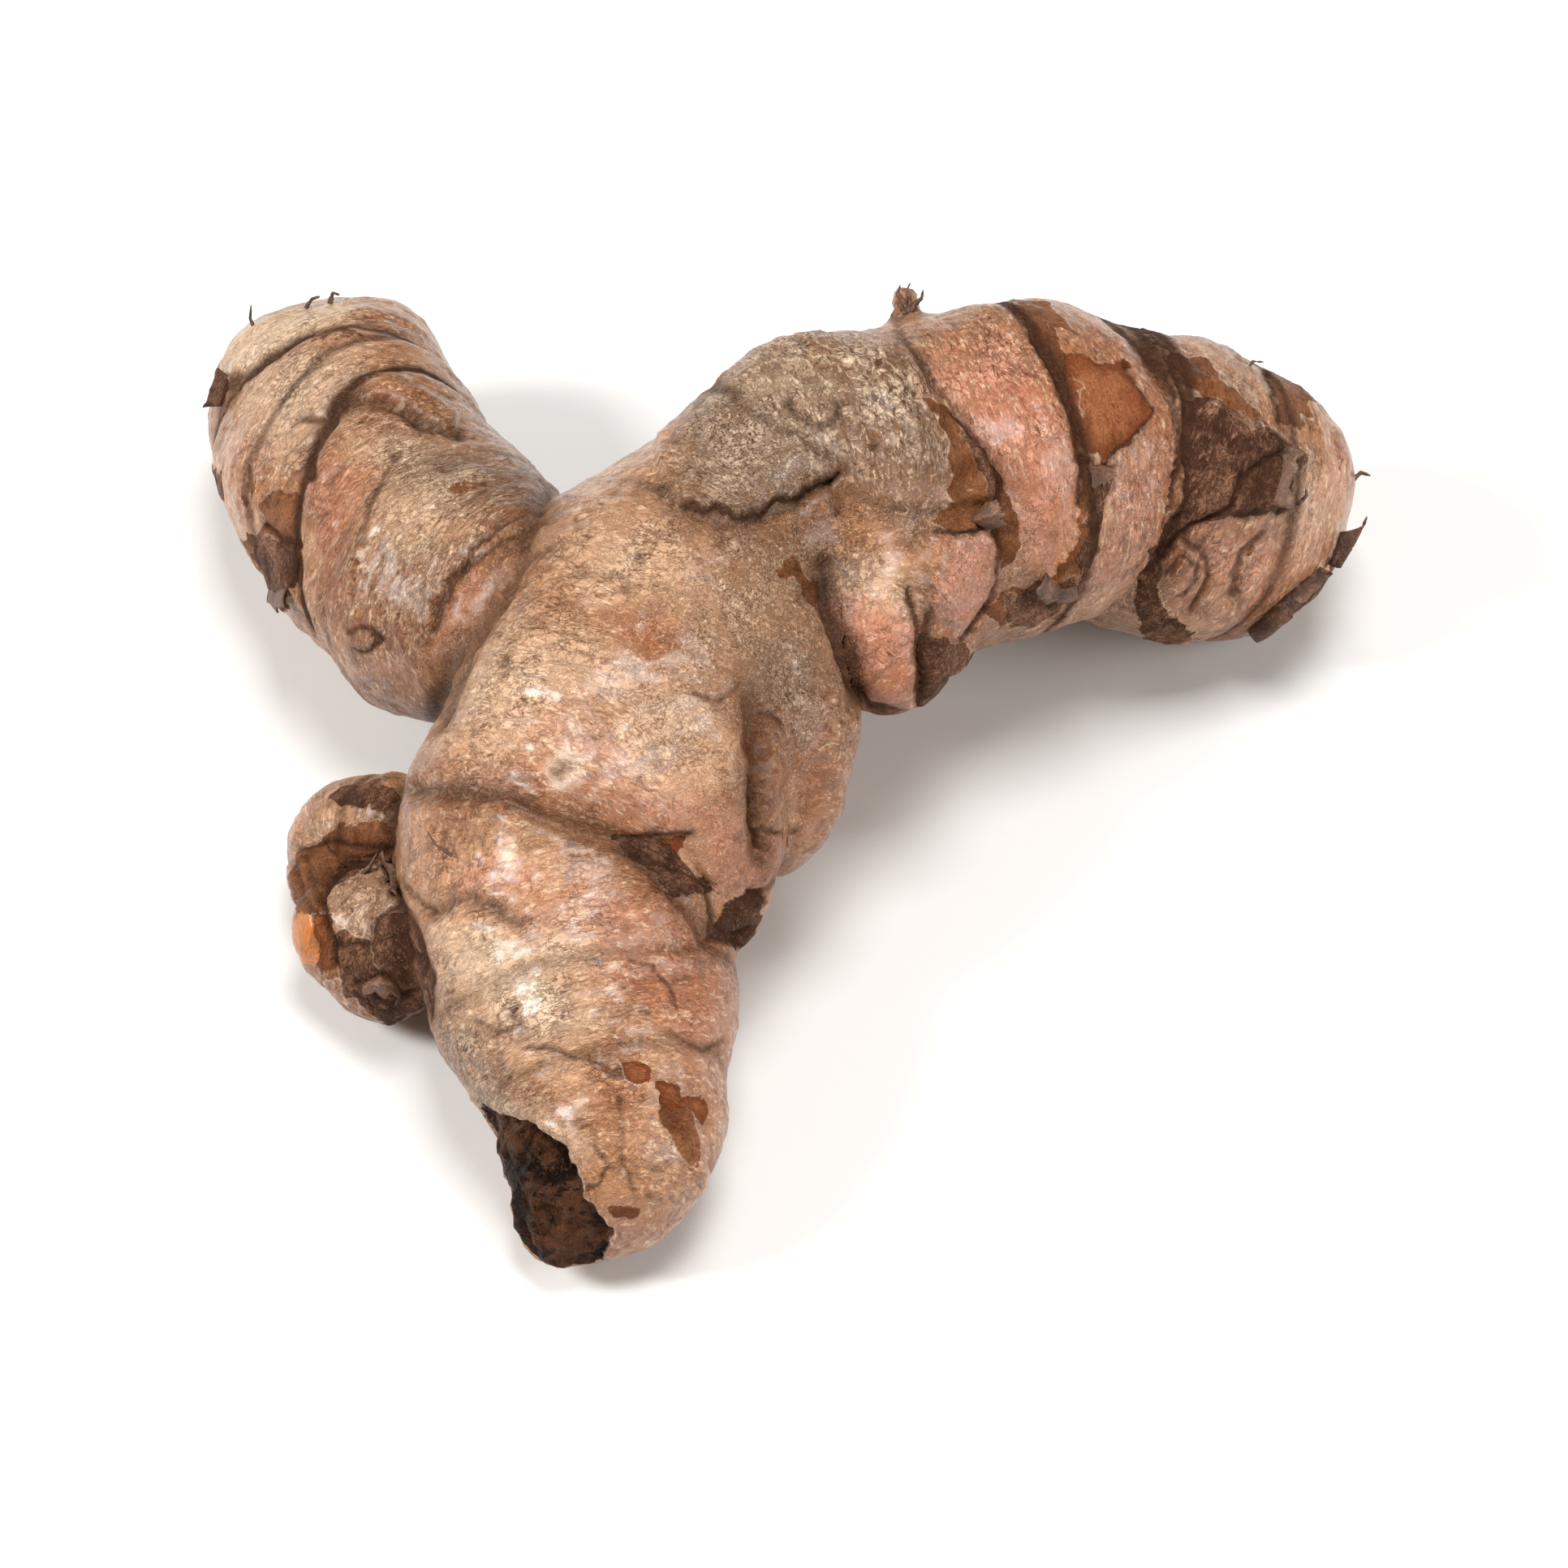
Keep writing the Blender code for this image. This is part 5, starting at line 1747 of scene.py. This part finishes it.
def ragged_group() -> bpy.types.NodeTree:
    """Make a mask's soft edge crisp and uneven: what passes a half after noise is added.

    The rim is a thin line just outside the crisp edge, and the core is how far inside it a place is.

    Returns:
        The group.
    """
    number = "NodeSocketFloat"
    plan, given, result = new_group("ragged_mask", {"Mask": number, "Noise": number, "Spread": number},
                                    {"Mask": number, "Rim": number, "Core": number})
    stirred = plan.calculate("SUBTRACT", given.outputs["Noise"], 0.5)
    stirred = plan.times_plus(stirred, given.outputs["Spread"], given.outputs["Mask"])
    inside = plan.between(stirred, 0.47, 0.53)
    outside = plan.calculate("SUBTRACT", 1.0, inside)
    plan.feed(result.inputs["Mask"], inside)
    plan.feed(result.inputs["Rim"], plan.times(outside, plan.between(stirred, 0.4, 0.47)))
    plan.feed(result.inputs["Core"], plan.between(stirred, 0.53, 0.95))
    return plan.tree


class SkinPatterns:
    """The skin's patterns and stored tints, as sockets of one node plan.

    Args:
        plan: the material's node plan.
        grain: the group that gives the patterns.
        ragged: the group that makes a mask's edge crisp.
    """

    SPREADS = {Tint.BROWN: 0.35, Tint.RUST: 0.35, Tint.SCALE: 0.35, Tint.STUB: 0.3, Tint.FLESH: 0.35}

    def __init__(self, plan: NodePlan, grain: bpy.types.NodeTree, ragged: bpy.types.NodeTree) -> None:
        """Place the groups and name their outputs."""
        self.plan = plan
        texture = plan.group(grain, Grain=plan.stored("grain", "Vector"), Merge=plan.stored("merge"),
                             Place=plan.place("ShaderNodeTexCoord").outputs["Object"])
        self.thread, self.pebble, self.crack, self.fleck, self.mottle, self.field = texture.outputs
        self.edges = {tint: plan.group(ragged, Mask=plan.stored(tint.value), Noise=self.fleck,
                                       Spread=spread).outputs
                      for tint, spread in self.SPREADS.items()}

    def soft(self, tint: Tint) -> bpy.types.NodeSocket:
        """Read a tint whose edge stays soft, broken up a little by the mottling."""
        return self.plan.times(self.plan.stored(tint.value),
                               self.plan.between(self.mottle, 0.3, 0.6, 0.65, 1.0))

    def streaked(self, low: Colour, high: Colour, weave: float) -> bpy.types.NodeSocket:
        """Mottle two shades of one ground, with threads of both.

        Args:
            low: the darker shade.
            high: the lighter shade.
            weave: how full the threads are.

        Returns:
            The colour.
        """
        return self.plan.layers(low, ((self.mottle, 0.38, 0.62, 0.0, 1.0, high),
                                      (self.thread, 0.5, 0.34, 0.0, weave, low),
                                      (self.thread, 0.52, 0.68, 0.0, weave, high)))


@dataclass(frozen=True)
class SkinFinish:
    """The skin's finish: linear colours for its grounds and tints, gloss and bump height."""

    tan: Colour = (0.52, 0.272, 0.142)
    deep_tan: Colour = (0.32, 0.13, 0.053)
    # The light colour also paints glints on thread ridges and highlights on the rims of torn edges.
    light: Colour = (0.88, 0.68, 0.46)
    dark: Colour = (0.10, 0.035, 0.015)
    pink: Colour = (0.55, 0.235, 0.145)
    deep_pink: Colour = (0.43, 0.155, 0.088)
    warm_and_shade: Colour = (0.32, 0.108, 0.038)
    rust: Colour = (0.31, 0.11, 0.044)
    deep_rust: Colour = (0.17, 0.045, 0.014)
    brown: Colour = (0.25, 0.098, 0.04)
    deep_brown: Colour = (0.12, 0.04, 0.014)
    scale: Colour = (0.055, 0.022, 0.012)
    light_scale: Colour = (0.26, 0.125, 0.072)
    grey: Colour = (0.54, 0.38, 0.26)
    deep_grey: Colour = (0.16, 0.09, 0.052)
    pale: Colour = (0.80, 0.60, 0.41)
    dirt_and_shade: Colour = (0.045, 0.018, 0.009)
    flesh: Colour = (0.50, 0.15, 0.02)
    stub: Colour = (0.014, 0.006, 0.003)
    light_stub: Colour = (0.15, 0.06, 0.028)
    roughness: float = 0.34
    sheen: float = 0.06
    coat: float = 1.0
    coat_roughness: float = 0.33
    # How far the colour darkens deep in grooves: dirt and painted shade.
    cavity_dirt_and_shade: float = 0.88
    bump: float = 0.00015

    def material(self, grain: bpy.types.NodeTree, ragged: bpy.types.NodeTree) -> bpy.types.Material:
        """Make the material.

        Args:
            grain: the group that gives threads, pebbles, cracks, flecks and mottling.
            ragged: the group that makes a mask's edge crisp.

        Returns:
            The material.
        """
        made, plan, shader = new_material("turmeric_skin")
        skin = SkinPatterns(plan, grain, ragged)
        colour = self.deep_colour(skin, self.torn_colour(skin, self.ground_colour(skin)))
        cavity = plan.stored("cavity")
        # Painted shade with dirt: darker deep in grooves and creases.
        colour = plan.mix(plan.times(cavity, self.cavity_dirt_and_shade), colour, self.dirt_and_shade)
        plan.feed(shader.inputs["Base Color"], colour)
        shader.inputs["Specular IOR Level"].default_value = self.sheen
        shader.inputs["Coat Roughness"].default_value = self.coat_roughness
        gloss = plan.times_plus(skin.mottle, 0.2, self.roughness - 0.1)
        gloss = plan.times_plus(skin.edges[Tint.SCALE]["Mask"], 0.2, gloss)
        plan.feed(shader.inputs["Roughness"], plan.times_plus(cavity, 0.3, gloss, clamp=True))
        coat = plan.between(skin.fleck, 0.3, 0.62, 0.35 * self.coat, self.coat)
        for matt in (*(skin.edges[tint]["Mask"] for tint in TORN), cavity,
                     plan.times(plan.stored(Tint.GREY.value), 0.6), plan.stored(Tint.DIRT_AND_SHADE.value)):
            coat = plan.times(coat, plan.calculate("SUBTRACT", 1.0, matt, clamp=True))
        plan.feed(shader.inputs["Coat Weight"], coat)
        plan.feed(shader.inputs["Normal"], plan.bump(self.height(skin), self.bump))
        return made

    def ground_colour(self, skin: SkinPatterns) -> bpy.types.NodeSocket:
        """Lay the soft tints, which carry painted shade and painted highlights too, over the tan ground, with
        light threads that are painted glints, and dark threads and cracks.

        Args:
            skin: the patterns and tints.

        Returns:
            The colour.
        """
        plan = skin.plan
        colour = plan.mix(plan.between(skin.field, 0.35, 0.65), self.deep_tan, self.tan)
        colour = plan.layers(colour, ((skin.mottle, 0.4, 0.66, 0.0, 0.5, self.deep_tan),))
        colour = plan.mix(skin.soft(Tint.GREY), colour, skin.streaked(self.deep_grey, self.grey, 1.0))
        # Warm brown skin, and painted shade over shaded places.
        colour = plan.mix(skin.soft(Tint.WARM_AND_SHADE), colour, self.warm_and_shade)
        pink = plan.mix(plan.between(skin.mottle, 0.36, 0.62), self.deep_pink, self.pink)
        colour = plan.mix(skin.soft(Tint.PINK), colour, pink)
        # Pale skin, and painted highlights where light falls.
        colour = plan.mix(skin.soft(Tint.PALE_AND_HIGHLIGHT), colour, self.pale)
        # Painted glints: the thread ridges are laid in the light colour.
        colour = plan.layers(colour, ((skin.thread, 0.52, 0.72, 0.0, 0.5, self.light),))
        for line, patchy in ((plan.between(skin.thread, 0.49, 0.3), (0.36, 0.6, 0.3, 0.85)),
                             (plan.between(skin.crack, 0.8, 0.0), (0.42, 0.6, 0.1, 0.6))):
            colour = plan.mix(plan.times(line, plan.between(skin.mottle, *patchy)), colour, self.dark)
        return plan.layers(colour, ((skin.fleck, 0.36, 0.26, 0.0, 0.7, self.dark),))

    def torn_colour(self, skin: SkinPatterns, colour: bpy.types.NodeSocket) -> bpy.types.NodeSocket:
        """Lay brown skin, bared rust and dark scales over the ground, each with a light rim: the lifted
        skin's pale edge with a painted highlight on it. The bared rust is painted deeper at its edges, as
        shade under the torn skin.

        Args:
            skin: the patterns and tints.
            colour: the ground's colour.

        Returns:
            The colour.
        """
        plan = skin.plan
        # Painted shade: the bared rust is deep at its edges, under the torn skin, and lighter toward its
        # core.
        rust = plan.mix(skin.edges[Tint.RUST]["Core"], self.deep_rust, self.rust)
        scale = skin.streaked(self.scale, self.light_scale, 0.8)
        laid = {Tint.BROWN: skin.streaked(self.deep_brown, self.brown, 0.8),
                Tint.RUST: plan.layers(rust, ((skin.thread, 0.5, 0.34, 0.0, 0.6, self.deep_rust),)),
                Tint.SCALE: plan.layers(scale, ((skin.crack, 0.7, 0.0, 0.0, 0.8, self.dirt_and_shade),))}
        for tint, shade in laid.items():
            colour = plan.mix(skin.edges[tint]["Mask"], colour, shade)
        # The light rims: the lifted skin's pale edge, with a painted highlight on it.
        for tint in laid:
            rim = plan.times(skin.edges[tint]["Rim"], plan.between(skin.mottle, 0.46, 0.62, 0.0, 0.25))
            colour = plan.mix(rim, colour, self.light)
        return colour

    def deep_colour(self, skin: SkinPatterns, colour: bpy.types.NodeSocket) -> bpy.types.NodeSocket:
        """Lay dirt and painted shade, bared flesh and the broken stub over the rest.

        Args:
            skin: the patterns and tints.
            colour: the colour so far.

        Returns:
            The colour.
        """
        plan = skin.plan
        # Dirt and painted shade, where the dirt tint lies.
        colour = plan.mix(plan.times(skin.soft(Tint.DIRT_AND_SHADE), 0.9), colour, self.dirt_and_shade)
        flesh = plan.layers(self.flesh, ((skin.thread, 0.5, 0.36, 0.0, 0.8, self.rust),
                                         (skin.mottle, 0.5, 0.6, 0.0, 0.5, self.deep_rust)))
        colour = plan.mix(skin.edges[Tint.FLESH]["Mask"], colour, flesh)
        # The stub's rim: its pale torn edge, with a painted highlight on it.
        rim = plan.times(skin.edges[Tint.STUB]["Rim"], plan.between(skin.mottle, 0.4, 0.6, 0.05, 0.4))
        colour = plan.mix(rim, colour, self.pale)
        stub = plan.layers(self.stub, ((skin.mottle, 0.44, 0.6, 0.0, 1.0, self.light_stub),
                                       (skin.thread, 0.56, 0.7, 0.0, 0.7, self.brown),
                                       (skin.fleck, 0.56, 0.66, 0.0, 0.7, self.deep_grey),
                                       (skin.pebble, 0.45, 0.3, 0.0, 0.9, self.stub)))
        return plan.mix(skin.edges[Tint.STUB]["Mask"], colour, stub)

    def height(self, skin: SkinPatterns) -> bpy.types.NodeSocket:
        """Add up the fine relief: rougher on grey skin and the stub, stepped at torn edges.

        Args:
            skin: the patterns and tints.

        Returns:
            The height, in shares of the bump distance.
        """
        plan = skin.plan
        height = plan.times_plus(skin.pebble, 0.8, plan.times(skin.thread, 1.2))
        for pattern, share in ((skin.crack, 0.3), (skin.fleck, 0.7)):
            height = plan.times_plus(pattern, share, height)
        rough = 1.0
        for amount, share in ((plan.stored(Tint.PINK.value), -0.35), (plan.stored(Tint.GREY.value), 0.9),
                              (skin.edges[Tint.STUB]["Mask"], 4.5)):
            rough = plan.times_plus(amount, share, rough)
        height = plan.times(height, rough)
        for tint, lift in ((Tint.BROWN, -0.5), (Tint.RUST, -0.9), (Tint.SCALE, 0.9)):
            height = plan.times_plus(skin.edges[tint]["Mask"], lift, height)
        return height


@dataclass(frozen=True)
class PaperFinish:
    """The finish of torn flaps and dried strands."""

    brown: Colour = (0.13, 0.056, 0.027)
    dark: Colour = (0.05, 0.02, 0.01)
    light: Colour = (0.23, 0.125, 0.07)
    roughness: float = 0.5
    bump: float = 0.0001

    def material(self, grain: bpy.types.NodeTree) -> bpy.types.Material:
        """Make the material from the common grain.

        Args:
            grain: the group that gives threads, pebbles, flecks and mottling.

        Returns:
            The material.
        """
        made, plan, shader = new_material("turmeric_paper")
        place = plan.place("ShaderNodeTexCoord").outputs["Object"]
        texture = plan.group(grain, Grain=place, Place=place, Merge=1.0).outputs
        colour = plan.layers(self.dark, ((texture["Mottle"], 0.4, 0.6, 0.0, 1.0, self.brown),
                                         (texture["Fleck"], 0.5, 0.65, 0.0, 0.7, self.light),
                                         (texture["Thread"], 0.5, 0.32, 0.0, 0.7, self.dark)))
        height = plan.calculate("ADD", texture["Thread"], texture["Pebble"])
        for name, value in (("Base Color", colour), ("Roughness", self.roughness),
                            ("Normal", plan.bump(height, self.bump))):
            plan.feed(shader.inputs[name], value)
        return made


@dataclass
class Studio:
    """A pale floor, soft light and the camera at the photograph's viewing angle.

    Args:
        layout: where the picture lies in space.
        view_centre: the picture point the camera's axis passes through.
        frame_width: the picture's width at the layout's distance, in millimetres.
    """

    layout: Layout
    view_centre: Corner = (3.7, -7.3)
    frame_width: float = 96.0
    floor_size: float = 1.6
    floor_height: float = -0.00002
    floor_colour: Colour = (0.80, 0.79, 0.77)
    floor_roughness: float = 0.8
    sensor_width: float = 36.0
    world_colour: Colour = (1.0, 0.985, 0.96)
    world_strength: float = 0.13

    def build(self) -> None:
        """Build the stage."""
        self.add_floor()
        self.add_camera()
        self.add_light("key", (-0.46, -0.11, 0.40), 0.17, 3.8)
        self.add_light("top", (0.07, 0.02, 0.62), 0.28, 3.3)
        self.add_light("fill", (0.46, -0.22, 0.26), 0.34, 2.1)
        world = bpy.data.worlds.new("studio")
        world.use_nodes = True
        background = world.node_tree.nodes["Background"].inputs
        background["Color"].default_value = (*self.world_colour, 1.0)
        background["Strength"].default_value = self.world_strength
        bpy.context.scene.world = world
        bpy.context.scene.view_settings.view_transform = "Standard"

    def add_floor(self) -> None:
        """Lay a flat pale floor just under the rhizome."""
        side = 5
        steps = np.linspace(-self.floor_size / 2.0, self.floor_size / 2.0, side)
        x, y = np.meshgrid(steps, steps)
        corners = np.stack([x.ravel(), y.ravel(), np.full(x.size, self.floor_height)], axis=1)
        floor = grid_object("floor", (corners, grid_quads(side, side)))
        made, _, shader = new_material("floor")
        shader.inputs["Base Color"].default_value = (*self.floor_colour, 1.0)
        shader.inputs["Roughness"].default_value = self.floor_roughness
        floor.data.materials.append(made)

    def add_camera(self) -> None:
        """Set the camera as far off as the layout's viewer, straight along the viewing line."""
        sine, cosine = math.sin(self.layout.look_down), math.cos(self.layout.look_down)
        across, up = self.view_centre
        target = self.layout.metres(np.array([across, up * sine, up * cosine]))
        data = bpy.data.cameras.new("camera")
        data.sensor_width = self.sensor_width
        data.lens = self.sensor_width * self.layout.distance / self.frame_width
        data.clip_start = 0.01
        camera = in_scene("camera", data)
        camera.location = target + self.layout.toward_viewer * self.layout.distance / 1000.0
        camera.rotation_euler = (math.pi / 2.0 - self.layout.look_down, 0.0, 0.0)
        bpy.context.scene.camera = camera

    def add_light(self, name: str, place: tuple[float, float, float], size: float, power: float) -> None:
        """Hang one soft square lamp, facing the rhizome.

        Args:
            name: the lamp's name.
            place: where it hangs, in metres.
            size: its width, in metres.
            power: its power, in watts.
        """
        data = bpy.data.lights.new(name, "AREA")
        data.size = size
        data.energy = power
        lamp = in_scene(name, data)
        lamp.location = place
        lamp.rotation_euler = (-Vector(place)).to_track_quat("-Z", "Y").to_euler()


def main() -> None:
    """Build and dress the skin, flaps and strands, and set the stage."""
    logging.basicConfig(level=logging.INFO, format="%(message)s")
    layout = Layout()
    rhizome = Rhizome(layout)
    skin = Skin(rhizome).build()
    grain, ragged = grain_group(), ragged_group()
    skin.data.materials.clear()
    skin.data.materials.append(SkinFinish().material(grain, ragged))
    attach(skin, BODY)
    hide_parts(CAD_NODE)
    paper = PaperFinish().material(grain)
    for piece in Trimmings(rhizome).build():
        piece.data.materials.append(paper)
        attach(piece, BODY)
    Studio(layout).build()


if __name__ == "__main__":
    main()
